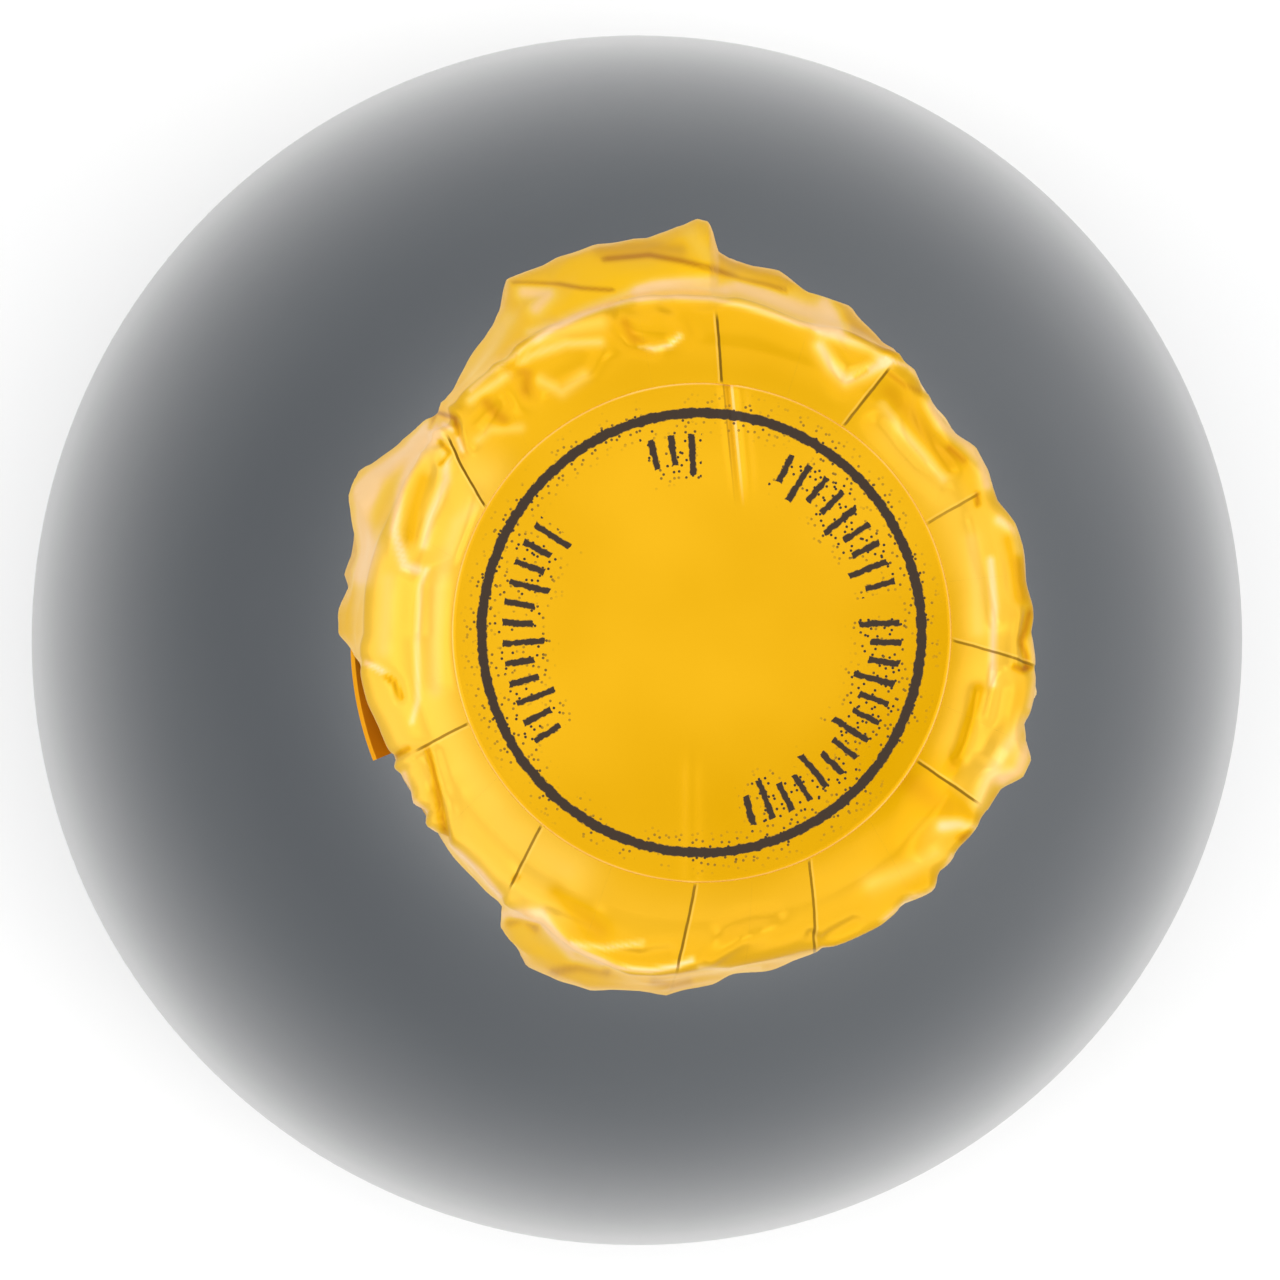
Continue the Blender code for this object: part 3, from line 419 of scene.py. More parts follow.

# Painted shade and highlights, listed: width in pixels of the photograph, strength from -1
# (painted shade, deep orange fold) to 1 (painted highlight, pale rim), and the line, x and y
# by turns, in those pixels
SHADES = (
    # broad glow of the roll, at the right, at the left and low down
    (26, 0.2, 899, 436, 950, 505, 981, 590, 983, 665, 962, 740),
    (20, 0.16, 991, 516, 1011, 580, 1014, 650, 995, 740, 940, 836),
    (30, 0.3, 482, 480, 441, 562, 431, 640, 436, 700, 462, 760, 512, 828, 566, 868),
    (30, 0.3, 436, 450, 390, 549, 378, 640, 384, 700, 412, 776, 474, 862, 539, 914),
    (40, 0.07, 590, 900, 660, 920, 760, 918, 860, 880),
    # creases and glow of the flap
    (3.2, -0.9, 605, 259, 649, 255, 683, 261, 711, 268, 742, 279, 768, 285, 784, 290),
    (7, -0.4, 600, 250, 649, 246, 680, 250),
    (7, -0.35, 722, 256, 738, 268, 770, 277, 788, 283),
    (9, 0.25, 690, 232, 700, 246, 708, 256),
    (2.4, -0.8, 514, 282, 560, 284, 581, 288, 612, 290),
    (9, 0.75, 524, 292, 548, 294, 536, 308),
    (5, 0.5, 529, 332, 560, 322, 590, 308, 622, 296, 652, 284, 683, 280, 714, 279),
    (8, 0.7, 640, 292, 664, 288, 696, 289, 724, 290),
    (12, 0.85, 740, 286, 770, 297, 800, 309, 826, 317),
    (8, 0.7, 826, 302, 836, 312, 842, 326),
    (9, 0.45, 508, 318, 490, 344, 470, 372),
    # roll line and what it borders
    (3, 0.6, 470, 390, 486, 376, 506, 361, 530, 344, 555, 327, 581, 315, 604, 307, 632, 300, 673,
     297, 711, 299, 745, 306, 776, 316, 800, 324, 838, 331),
    (5, 0.5, 470, 400, 500, 380, 530, 356, 566, 344, 600, 342),
    (8, 0.35, 540, 340, 570, 328, 600, 322),
    (5, -0.5, 625, 322, 632, 336, 642, 345),
    (3, 0.8, 640, 346, 655, 349, 670, 345, 680, 336),
    (6, -0.5, 512, 368, 528, 374, 526, 390),
    (6, -0.55, 486, 402, 496, 414, 504, 420),
    (6, 0.4, 540, 380, 562, 392, 584, 376),
    (5, 0.35, 478, 440, 490, 430, 520, 428),
    # knot of the crease at the left
    (2.5, -1.0, 430, 428, 436, 412, 455, 418, 457, 434),
    (2.5, -0.9, 440, 442, 449, 452, 441, 464),
    (3, 0.6, 444, 424, 456, 432, 462, 450),
    # left lobe and the long dent
    (13, 1.0, 430, 432, 400, 452, 376, 474, 364, 490),
    (11, 0.8, 366, 490, 362, 520, 368, 548, 360, 576),
    (5, 0.6, 415, 455, 400, 490, 394, 530, 405, 566, 418, 570),
    (5, 0.5, 446, 455, 446, 480, 430, 517, 424, 545),
    (9, -0.35, 424, 480, 414, 512, 410, 536),
    (8, 0.15, 473, 508, 458, 523, 450, 550, 440, 590, 437, 640, 436, 690),
    (3, 0.4, 427, 569, 420, 586, 417, 646, 418, 700, 412, 722),
    (8, 0.15, 388, 580, 386, 620, 384, 650),
    # lower left
    (2.5, -0.8, 385, 675, 394, 682, 401, 697),
    (3, 0.6, 366, 663, 376, 667, 386, 674),
    (2.5, -0.8, 408, 749, 400, 753, 393, 759),
    (2.5, -0.8, 427, 748, 432, 765, 438, 792, 445, 832),
    (6, -0.25, 434, 790, 442, 826, 452, 846),
    (3, 0.6, 404, 774, 412, 800, 426, 812),
    (3, 0.7, 432, 830, 456, 850, 480, 872, 500, 896),
    # bottom
    (3, 0.9, 516, 915, 532, 921, 541, 921, 550, 930, 569, 946, 589, 955, 617, 968, 651, 971, 674,
     967, 692, 960),
    (6, 0.7, 505, 915, 540, 914, 556, 938, 574, 958, 600, 966),
    (5, -0.7, 510, 922, 524, 918, 536, 928),
    (5, -0.6, 554, 972, 578, 967, 606, 972),
    (5, -0.45, 654, 982, 672, 986, 688, 982),
    (3, 0.6, 573, 944, 605, 948, 642, 943),
    (10, -0.3, 556, 892, 582, 914, 600, 930),
    (3, 0.6, 700, 968, 730, 970, 760, 968),
    # lower right
    (9, 0.3, 872, 884, 908, 870, 936, 854),
    (7, 0.7, 943, 826, 960, 824, 974, 830),
    (4, -0.8, 962, 838, 970, 832),
    (13, -0.3, 906, 778, 934, 800, 964, 812),
    (3, 0.7, 952, 856, 938, 886, 926, 895, 912, 897, 884, 920),
    (9, 0.5, 1026, 720, 1008, 748, 990, 776, 978, 804),
    (9, 0.7, 1028, 748, 1020, 770, 1004, 780),
    # right
    (3, -0.9, 1030, 612, 1026, 628, 1022, 640),
    (2.5, -0.9, 1022, 645, 1027, 657, 1026, 668),
    (3, -0.9, 1016, 667, 1022, 670, 1031, 667),
    (4, 0.6, 991, 560, 995, 606, 993, 656, 993, 684),
    (6, -0.35, 979, 689, 970, 721, 960, 752, 952, 768),
    (10, 0.2, 972, 540, 976, 580, 978, 630),
    (6, 0.6, 1000, 520, 1014, 530, 1018, 552),
    (7, -0.45, 1012, 540, 1018, 566, 1022, 596),
    (5, 0.6, 1034, 640, 1036, 680, 1031, 706),
    # upper right
    (3, 0.7, 888, 359, 908, 366, 922, 380, 925, 390),
    (2.5, -0.5, 887, 371, 903, 384, 920, 391),
    (11, -0.35, 890, 394, 908, 412, 931, 440, 947, 462),
    (6, 0.4, 884, 404, 900, 428, 924, 454, 944, 478),
    (8, 0.7, 932, 404, 942, 424, 966, 442, 982, 460, 988, 484),
    (4, -0.7, 950, 448, 964, 460),
    (9, -0.5, 838, 306, 852, 325, 870, 340, 886, 350),
    (6, 0.75, 820, 330, 846, 339, 872, 348, 886, 360),
    (7, 0.75, 820, 346, 832, 366, 846, 380, 864, 373, 884, 364),
    (3, -0.5, 856, 376, 866, 371),
    # hooks at the seams' ends
    (2.5, -1.0, 977, 494, 978, 504),
    (2.5, -0.8, 514, 880, 518, 876),
)


def blend(low, high, share):
    """The value that lies a share of the way from low to high."""
    return low + (high - low) * share


def even_steps(low, high, count):
    """The values from low to high, both included, in count even steps."""
    return [blend(low, high, step / count) for step in range(count + 1)]


def smooth_step(value, low, high):
    """0 below low, 1 above high, with eased ends."""
    share = np.clip((value - low) / (high - low), 0.0, 1.0)
    return share * share * (3 - 2 * share)


def hump(distance, half_width):
    """1 in the middle, 0 at half_width and beyond."""
    share = np.clip(np.abs(distance) / half_width, 0.0, 1.0)
    return np.cos(math.pi / 2 * share) ** 2


def bell(distance, width):
    """1 in the middle, falling off softly on both sides."""
    return np.exp(-(distance / width) ** 2)


def turn_between(angle, other):
    """Signed turn from other to angle, between -pi and pi."""
    return (angle - other + math.pi) % math.tau - math.pi


def full_circle(count):
    """Angles of count even steps round the axis."""
    return np.arange(count) * math.tau / count


def ring_points(radius, turns, height):
    """Points round the axis, shape (turns, 3)."""
    return np.stack([radius * np.cos(turns), radius * np.sin(turns), height + 0 * turns], axis=-1)


def outwards(angle):
    """Unit vector away from the axis."""
    return np.array([math.cos(angle), math.sin(angle), 0])


def sideways(angle):
    """Unit vector along a circle about the axis."""
    return np.array([-math.sin(angle), math.cos(angle), 0])


def upwards(height):
    """A vector straight up."""
    return np.array([0, 0, height])


def lattice_value(x, y, z, seed):
    """A repeatable random value, 0 to 1, for each whole lattice point."""
    mixed = x * 73856093 ^ y * 19349663 ^ z * 83492791 ^ seed * 2654435761
    mixed = (mixed ^ (mixed >> 13)) * 1274126177
    mixed = mixed ^ (mixed >> 16)
    return (mixed & 0xFFFF) / 0xFFFF


def value_noise(points, seed):
    """Smooth noise, 0 to 1, at points given in cells."""
    cell = np.floor(points).astype(np.int64)
    part = points - cell
    part = part * part * (3 - 2 * part)
    total = np.zeros(len(points))
    for corner in range(8):
        step = np.array([corner & 1, corner >> 1 & 1, corner >> 2 & 1])
        weight = np.prod(np.where(step, part, 1 - part), axis=1)
        place = cell + step
        total += weight * lattice_value(place[:, 0], place[:, 1], place[:, 2], seed)
    return total


def fold_noise(points, wide, tall, seed):
    """Sharp-crested noise, 0 to 1, like creases in foil, in cells of so many millimetres."""
    cells = points * np.array([1 / wide, 1 / wide, 1 / tall]) / MM
    return 1 - np.abs(2 * value_noise(cells, seed) - 1)


def add_piece(name, mesh, weld=False):
    """Put a mesh in the scene, with its faces turned outwards."""
    shape = bmesh.new()
    shape.from_mesh(mesh)
    if weld:
        bmesh.ops.remove_doubles(shape, verts=shape.verts, dist=WELD_DISTANCE)
    bmesh.ops.recalc_face_normals(shape, faces=shape.faces)
    shape.to_mesh(mesh)
    shape.free()
    return add_object(name, mesh)


def add_object(name, data):
    """An object for a mesh, lamp or camera, linked to the scene."""
    made = bpy.data.objects.new(name, data)
    bpy.context.scene.collection.objects.link(made)
    return made


def mesh_piece(name, rings, joined=False, attributes=None):
    """A closed smooth mesh through rings of points, shape (rings, points, 3).

    The last ring is joined to the first, or both get a cap. Attributes hold one
    number for each point.
    """
    rings = np.asarray(rings, float)
    rows, count = rings.shape[:2]
    index = np.arange(rows * count).reshape(rows, count)
    after = np.roll(index, -1, axis=1)
    quads = np.stack([index[:-1], after[:-1], after[1:], index[1:]], axis=-1).reshape(-1, 4)
    if joined:
        last = np.stack([index[-1], after[-1], after[0], index[0]], axis=-1)
        faces = np.concatenate([quads, last]).tolist()
    else:
        faces = quads.tolist() + [index[0].tolist(), index[-1].tolist()]
    mesh = bpy.data.meshes.new(name)
    mesh.from_pydata(rings.reshape(-1, 3).tolist(), [], faces)
    for label, values in (attributes or {}).items():
        layer = mesh.attributes.new(label, "FLOAT", "POINT")
        layer.data.foreach_set("value", np.asarray(values, np.float32).ravel())
    piece = add_piece(name, mesh)
    mesh.shade_smooth()
    return piece


def rounded(profile, rounding, steps=3):
    """The profile with each inner corner cut to a small arc-like chain."""
    points = [profile[0]]
    for before, here, after in zip(profile, profile[1:], profile[2:]):
        middle = np.array(here)
        arms = []
        for other in (before, after):
            arm = np.array(other) - middle
            length = np.linalg.norm(arm)
            arms.append(arm / length * min(rounding, length * 0.45))
        for share in even_steps(0, 1, steps):
            points.append(tuple(middle + arms[0] * (1 - share) ** 2 + arms[1] * share ** 2))
    return points + [profile[-1]]


def turned_piece(name, profile, count):
    """A solid of revolution from (radius, height) points."""
    turns = full_circle(count)
    return mesh_piece(name, [ring_points(radius, turns, height) for radius, height in profile])


def finish_piece(piece, material, body, node, sharp=35):
    """Give a piece its material and its place in the frame, instead of a node of the CAD."""
    if material:
        piece.data.materials.append(material)
    if sharp:
        piece.data.set_sharp_from_angle(angle=math.radians(sharp))
    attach(piece, body)
    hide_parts(node)


class NodeTree:
    """A short way to write the nodes of a material or a world."""

    def __init__(self, name, kind="materials", shader="Principled BSDF"):
        self.owner = getattr(bpy.data, kind).new(name)
        self.owner.use_nodes = True
        self.tree = self.owner.node_tree
        self.shader = self.tree.nodes[shader]
        self.coordinates = self.add("TexCoord").outputs
        self.place = self.coordinates["Object"]

    def feed(self, socket, value):
        """Link a socket to a socket, or set its value."""
        if isinstance(value, bpy.types.NodeSocket):
            self.tree.links.new(value, socket)
        else:
            socket.default_value = value

    def add(self, kind, **settings):
        """A node with its settings; those that start with in_ go to its sockets."""
        made = self.tree.nodes.new("ShaderNode" + kind)
        for key, value in settings.items():
            if key.startswith("in_"):
                self.feed(made.inputs[key[3:].replace("_", " ")], value)
            else:
                setattr(made, key, value)
        return made

    def maths(self, operation, *values):
        """One step of arithmetic."""
        made = self.add("Math", operation=operation)
        for socket, value in zip(made.inputs, (*values, 0.0, 0.0)):
            self.feed(socket, value)
        return made.outputs[0]

    def plus(self, first, second):
        """The sum of two values."""
        return self.maths("ADD", first, second)

    def minus(self, first, second):
        """The first value less the second."""
        return self.maths("SUBTRACT", first, second)

    def times(self, first, second):
        """The product of two values."""
        return self.maths("MULTIPLY", first, second)

    def largest(self, *values):
        """The largest of the values."""
        best = values[0]
        for value in values[1:]:
            best = self.maths("MAXIMUM", best, value)
        return best

    def off(self, value, middle):
        """How far a value is from a middle one."""
        return self.maths("ABSOLUTE", self.minus(value, middle))

    def stretched(self, *scale):
        """Object coordinates, scaled by three numbers."""
        return self.add("Mapping", in_Vector=self.place, in_Scale=scale).outputs[0]

    def noise(self, scale, detail=2.0, rough=0.5, place=None):
        """Noise on object coordinates."""
        return self.add(
            "TexNoise", in_Vector=place or self.place, in_Scale=scale, in_Detail=detail,
            in_Roughness=rough, in_Distortion=0.0,
        ).outputs["Fac"]

    def wobble(self, scale, detail, spread):
        """Noise about zero."""
        return self.times(self.minus(self.noise(scale, detail), 0.5), spread)

    def cells(self, scale, **settings):
        """The outputs of a cell texture on object coordinates."""
        return self.add("TexVoronoi", in_Vector=self.place, in_Scale=scale, **settings).outputs

    def ranged(self, value, low, high, out_low=0.0, out_high=1.0):
        """A value carried from one range into another, and held inside it."""
        return self.add(
            "MapRange", in_Value=value, in_From_Min=low, in_From_Max=high,
            in_To_Min=out_low, in_To_Max=out_high,
        ).outputs[0]

    def eased(self, *ranges):
        """Like ranged, with eased ends."""
        level = self.ranged(*ranges)
        level.node.interpolation_type = "SMOOTHSTEP"
        return level

    def mixed(self, share, first, second):
        """A mix of two colours."""
        made = self.add("Mix", data_type="RGBA")
        self.feed(made.inputs["Factor"], share)
        for label, value in (("A", first), ("B", second)):
            socket = next(s for s in made.inputs if s.name == label and s.type == "RGBA")
            self.feed(socket, value)
        return next(s for s in made.outputs if s.type == "RGBA")

    def attribute(self, name):
        """A number stored on the mesh."""
        return self.add("Attribute", attribute_name=name).outputs["Fac"]

    def bump(self, height, strength, distance, before=None):
        """A bump, after another one if it is given."""
        made = self.add("Bump", in_Height=height, in_Strength=strength, in_Distance=distance)
        if before:
            self.feed(made.inputs["Normal"], before)
        return made.outputs[0]

    def surface(self, **values):
        """Feed the shader's sockets; gives the material or world."""
        for key, value in values.items():
            self.feed(self.shader.inputs[key.replace("_", " ")], value)
        return self.owner


def rgba(colour, scale=1.0):
    """A colour with full alpha, made lighter or darker by scale."""
    return (*(part * scale for part in tuple(colour)[:3]), 1.0)


def glass_material(settings):
    """Very dark green glass with faint mould waves."""
    tree = NodeTree("dark_bottle_glass")
    colour = settings.glass_colour
    tint = tree.mixed(tree.noise(18.0, 2.0), rgba(colour), rgba(colour, 1.6))
    waves = tree.noise(1.0, 1.0, place=tree.stretched(45, 45, 14))
    bump = tree.bump(waves, 0.25, 0.6 * MM)
    bump = tree.bump(tree.noise(420.0, 2.0), 0.03, 0.1 * MM, bump)
    return tree.surface(
        Base_Color=tint, Roughness=settings.glass_roughness, IOR=1.52, Normal=bump,
        Specular_Tint=(0.86, 0.93, 1.0, 1.0), Specular_IOR_Level=0.18,
    )


def wine_material():
    """Pale gold wine with a few fine bubbles."""
    tree = NodeTree("pale_gold_wine")
    bubbles = tree.ranged(tree.cells(900.0)["Distance"], 0.10, 0.16, 1.0, 0.0)
    colour = tree.mixed(bubbles, rgba((0.72, 0.55, 0.20)), rgba((0.90, 0.82, 0.60)))
    return tree.surface(Base_Color=colour, Roughness=0.06, Coat_Weight=0.3)


def cork_material(name, pale, dark, grain):
    """Cork with pores; pressed cork has finer grains than natural cork."""
    tree = NodeTree(name)
    cells = tree.cells(grain)
    tone = tree.mixed(tree.noise(grain * 0.7, 4.0), rgba(dark), rgba(pale))
    cell_tone = tree.add("SeparateColor", in_Color=cells["Color"]).outputs[0]
    tone = tree.mixed(tree.ranged(cell_tone, 0, 1, 0.0, 0.45), tone, rgba(pale, 1.15))
    pores = tree.ranged(tree.noise(grain * 2.2, 3.0), 0.28, 0.40, 1.0, 0.0)
    colour = tree.mixed(pores, tone, rgba(dark, 0.35))
    bump = tree.bump(tree.minus(cells["Distance"], pores), 0.5, 0.25 * MM)
    return tree.surface(Base_Color=colour, Roughness=0.85, Normal=bump)


def plate_material():
    """Gold lacquer on tinplate, with fine brushed turns."""
    tree = NodeTree("gold_lacquered_plate")
    turns = tree.noise(3.0, 2.0, place=tree.stretched(900, 900, 30))
    wear = tree.ranged(tree.noise(260.0, 4.0), 0.62, 0.72)
    colour = tree.mixed(wear, rgba((0.72, 0.46, 0.08)), rgba((0.80, 0.70, 0.48)))
    return tree.surface(
        Base_Color=colour, Metallic=0.85, Roughness=tree.ranged(turns, 0, 1, 0.18, 0.34),
        Normal=tree.bump(turns, 0.08, 0.05 * MM), Coat_Weight=0.4,
    )


def wire_material():
    """Galvanised steel wire with drawn lines and a few dull spots."""
    tree = NodeTree("galvanised_wire")
    spots = tree.noise(700.0, 3.0)
    colour = tree.mixed(spots, rgba((0.42, 0.42, 0.41)), rgba((0.72, 0.72, 0.70)))
    return tree.surface(
        Base_Color=colour, Metallic=1.0, Roughness=tree.ranged(spots, 0.3, 0.7, 0.22, 0.45),
        Normal=tree.bump(spots, 0.15, 0.05 * MM),
    )


def foil_nodes(name, settings):
    """Shared nodes of the yellow foil: its tone, fine grain and roll lines, and roughness."""
    tree = NodeTree(name)
    cloud = tree.noise(42.0, 3.0, 0.55)
    share = tree.ranged(cloud, 0.3, 0.7)
    tone = tree.mixed(share, rgba(settings.foil_deep), rgba(settings.foil_light))
    strength, depth = settings.grain_strength, 0.02 * MM
    lines = tree.noise(1.0, 3.0, 0.6, place=tree.stretched(120, 3200, 600))
    bump = tree.bump(tree.noise(2600.0, 2.0), strength, depth)
    bump = tree.bump(lines, strength * 0.6, depth, bump)
    base = settings.foil_roughness
    return tree, tone, bump, tree.ranged(cloud, 0.3, 0.7, base * 0.85, base * 1.2)


def seam_shade_and_highlight(tree, tone, settings):
    """Draw the tucks' seams: a thin painted shade line, a painted highlight beside, slightly wavy.
    """
    offset = tree.attribute("seam_offset")
    strength = tree.attribute("seam_strength")
    offset = tree.plus(offset, tree.wobble(900.0, 2.0, 0.10))
    # Painted shade in a thin line under the lap's step, and a painted highlight on its edge
    dark = tree.ranged(tree.maths("ABSOLUTE", offset), 0.05, 0.10, 1.0, 0.0)
    pale = tree.ranged(tree.off(offset, 0.15), 0.02, 0.08, 1.0, 0.0)
    pale = tree.times(pale, tree.times(strength, 0.2))
    tone = tree.mixed(pale, tone, rgba((1.0, 0.72, 0.22)))
    return tree.mixed(tree.times(dark, strength), tone, rgba(settings.crease_shade_colour))


def foil_surface(tree, settings, tone, rough, bump, metallic):
    """The foil's shader: partly metallic, with a thin clear lacquer."""
    return tree.surface(
        Base_Color=tone, Roughness=rough, Normal=bump, Coat_Weight=settings.foil_coat,
        Coat_Roughness=0.15, Specular_IOR_Level=0.10, Specular_Tint=(1.0, 0.70, 0.22, 1.0),
        Metallic=metallic,
    )


def foil_material(name, settings, creased=False, shaded=False):
    """Yellow foil; a shaded piece gets painted orange shade, a creased one painted light."""
    tree, tone, bump, rough = foil_nodes(name, settings)
    if shaded:
        # Painted shade: the tab, in the hood's shade, is tinted more orange
        tone = tree.mixed(0.6, tone, rgba(settings.tab_shade_colour))
    if creased:
        # The shade attribute: below zero painted shade towards the folds' deep orange, above zero
        # painted highlights towards soft yellow and the pale rim tone
        shade = tree.attribute("shade")
        pale = tree.ranged(shade, 0.0, 1.0, 0.0, 0.85)
        deep = tree.ranged(shade, -1.0, 0.0, 0.85, 0.0)
        # Painted light that brightens the steep walls
        wall = tree.times(tree.attribute("wall"), 0.8)
        tone = tree.mixed(wall, tone, rgba(settings.wall_light_colour))
        strong = tree.ranged(shade, 0.30, 0.75)
        glow = tree.mixed(strong, rgba(settings.broad_highlight_colour), rgba(settings.rim_highlight_colour))
        tone = tree.mixed(pale, tone, glow)
        tone = tree.mixed(deep, tone, rgba(settings.fold_shade_colour))
        tone = seam_shade_and_highlight(tree, tone, settings)
    return foil_surface(tree, settings, tone, rough, bump, settings.foil_metallic)


def printed_ink(tree, settings, x, y, radius):
    """Where the ink is: a ring, short generic strokes inside it, and specks near both."""
    angle = tree.maths("ARCTAN2", y, x)
    ragged = tree.wobble(3000.0, 3.0, INK_RAGGED)

    def line(off, width):
        """1 inside a line of the given width, with a soft edge."""
        return tree.ranged(off, width / 2 - INK_EDGE, width / 2 + INK_EDGE, 1.0, 0.0)

    off_ring = tree.plus(tree.off(radius, settings.ring_radius), ragged)
    ring = line(off_ring, settings.ring_width)

    pitch = math.tau / settings.stroke_count
    turns = tree.maths("DIVIDE", tree.plus(angle, math.pi), pitch)
    across = tree.times(tree.off(tree.maths("FRACT", turns), 0.5), pitch)
    across = tree.plus(tree.times(across, radius), ragged)
    stroke = line(across, settings.stroke_width)
    short = tree.maths("GREATER_THAN", tree.maths("MODULO", turns, 3.0), 1.0)
    middle = tree.minus(settings.stroke_radius, tree.times(short, -SHORT_STROKE_SHIFT))
    off_band = tree.off(radius, middle)
    length = tree.minus(settings.stroke_length / 2, tree.times(short, SHORT_STROKE_CUT))
    stroke = tree.times(stroke, tree.maths("LESS_THAN", tree.plus(off_band, ragged), length))
    arcs = 0.0
    for middle, half in STROKE_ARCS:
        turn = tree.maths("COSINE", tree.minus(angle, math.radians(middle)))
        inside = tree.maths("GREATER_THAN", turn, math.cos(math.radians(half)))
        arcs = tree.largest(inside, arcs)
    stroke = tree.times(stroke, arcs)

    dots = tree.cells(2300.0, voronoi_dimensions="2D")["Distance"]
    chance = tree.ranged(tree.noise(520.0, 2.0), 0.42, 0.52)
    speck = tree.times(tree.ranged(dots, 0.16, 0.20, 1.0, 0.0), chance)
    near_ring = tree.ranged(off_ring, *RING_SPECKS, 1.0, 0.0)
    near_band = tree.times(tree.ranged(off_band, *STROKE_SPECKS, 1.0, 0.0), arcs)
    return tree.largest(ring, stroke, tree.times(speck, tree.largest(near_ring, near_band)))


def printed_foil_material(settings):
    """Yellow foil with its printing, painted shade and highlights at the dent and on the rim."""
    tree, tone, bump, rough = foil_nodes("printed_foil", settings)
    split = tree.add("SeparateXYZ", in_Vector=tree.place)
    x, y = split.outputs["X"], split.outputs["Y"]
    radius = tree.maths("SQRT", tree.plus(tree.times(x, x), tree.times(y, y)))
    ink = printed_ink(tree, settings, x, y, radius)
    # Painted shade in and beside the dent, and a painted highlight along its other side
    dent_edge = DENT_START + DENT_SLOPE * DISC_RADIUS
    off_dent = tree.minus(x, tree.maths("MULTIPLY_ADD", y, -DENT_SLOPE, dent_edge))
    shown = tree.ranged(y, *DENT_SHADING_FADE)
    for middle, half, strength, tint in DENT_SHADE_AND_HIGHLIGHT:
        share = tree.ranged(tree.off(off_dent, middle), half * 0.6, half * 1.4, strength, 0.0)
        tone = tree.mixed(tree.times(share, shown), tone, rgba(getattr(settings, tint)))
    # Painted highlight on the disc's rim
    start, end = (DISC_RADIUS - inset for inset in RIM_HIGHLIGHT_INSETS)
    rim = tree.ranged(radius, start, end, 0.0, 0.28)
    tone = tree.mixed(rim, tone, rgba(settings.rim_highlight_colour))
    colour = tree.mixed(ink, tone, rgba(settings.ink_colour))
    rough = tree.plus(rough, tree.times(ink, 0.25))
    metallic = tree.times(tree.minus(1.0, ink), settings.foil_metallic)
    return foil_surface(tree, settings, colour, rough, bump, metallic)


def paper_material(name):
    """Cream label paper with a fine laid texture and a plain double rule near its edge."""
    tree = NodeTree(name)
    fibre = tree.noise(1400.0, 4.0)
    laid = tree.noise(1.0, 2.0, place=tree.stretched(200, 200, 2400))
    tone = tree.mixed(fibre, rgba((0.70, 0.67, 0.59)), rgba((0.80, 0.78, 0.71)))
    edge = tree.maths("MINIMUM", tree.attribute("across"), tree.attribute("upward"))
    rules = 0.0
    for inset, half in LABEL_RULES:
        line = tree.ranged(tree.off(edge, inset), half, half + LABEL_RULE_EDGE, 1.0, 0.0)
        rules = tree.largest(line, rules)
    colour = tree.mixed(rules, tone, rgba((0.45, 0.30, 0.08)))
    bump = tree.bump(tree.plus(fibre, laid), 0.12, 0.04 * MM)
    return tree.surface(Base_Color=colour, Roughness=0.62, Normal=bump)


def floor_material(colour):
    """Plain pale floor with a painted pool of light that falls off gently away from the bottle."""
    tree = NodeTree("pale_floor")
    away = tree.add("VectorMath", operation="LENGTH", in_Vector=tree.place).outputs["Value"]
    # Painted pool of light: pale near the bottle, darker grey further away
    tone = tree.mixed(tree.eased(away, *FLOOR_LIGHT_POOL_FADE), rgba(colour), rgba(FLOOR_OUTSIDE_POOL_COLOUR))
    return tree.surface(Base_Color=tone, Roughness=0.6, Specular_IOR_Level=0.2)


def white_tent():
    """A world of white walls, with a dimmer opening straight above."""
    tree = NodeTree("studio", "worlds", "Background")
    height = tree.add("SeparateXYZ", in_Vector=tree.coordinates["Generated"]).outputs["Z"]
    opening = tree.eased(height, 0.88, 0.98, 1.0, 0.03)
    walls = tree.eased(height, 0.15, 0.60, 2.0, 1.32)
    return tree.surface(Color=(1, 1, 1, 1), Strength=tree.times(opening, walls))


def shoulder_radius(height):
    """Outer radius of shoulder and neck, a cosine with a slight taper."""
    share = (height - BODY_TOP) / (NECK_TOP - BODY_TOP)
    fall = (1 + math.cos(math.pi * share ** SHOULDER_CURVE)) / 2
    taper = NECK_TAPER * (1 - share)
    return NECK_RADIUS + taper + (BODY_RADIUS - NECK_RADIUS - NECK_TAPER) * fall


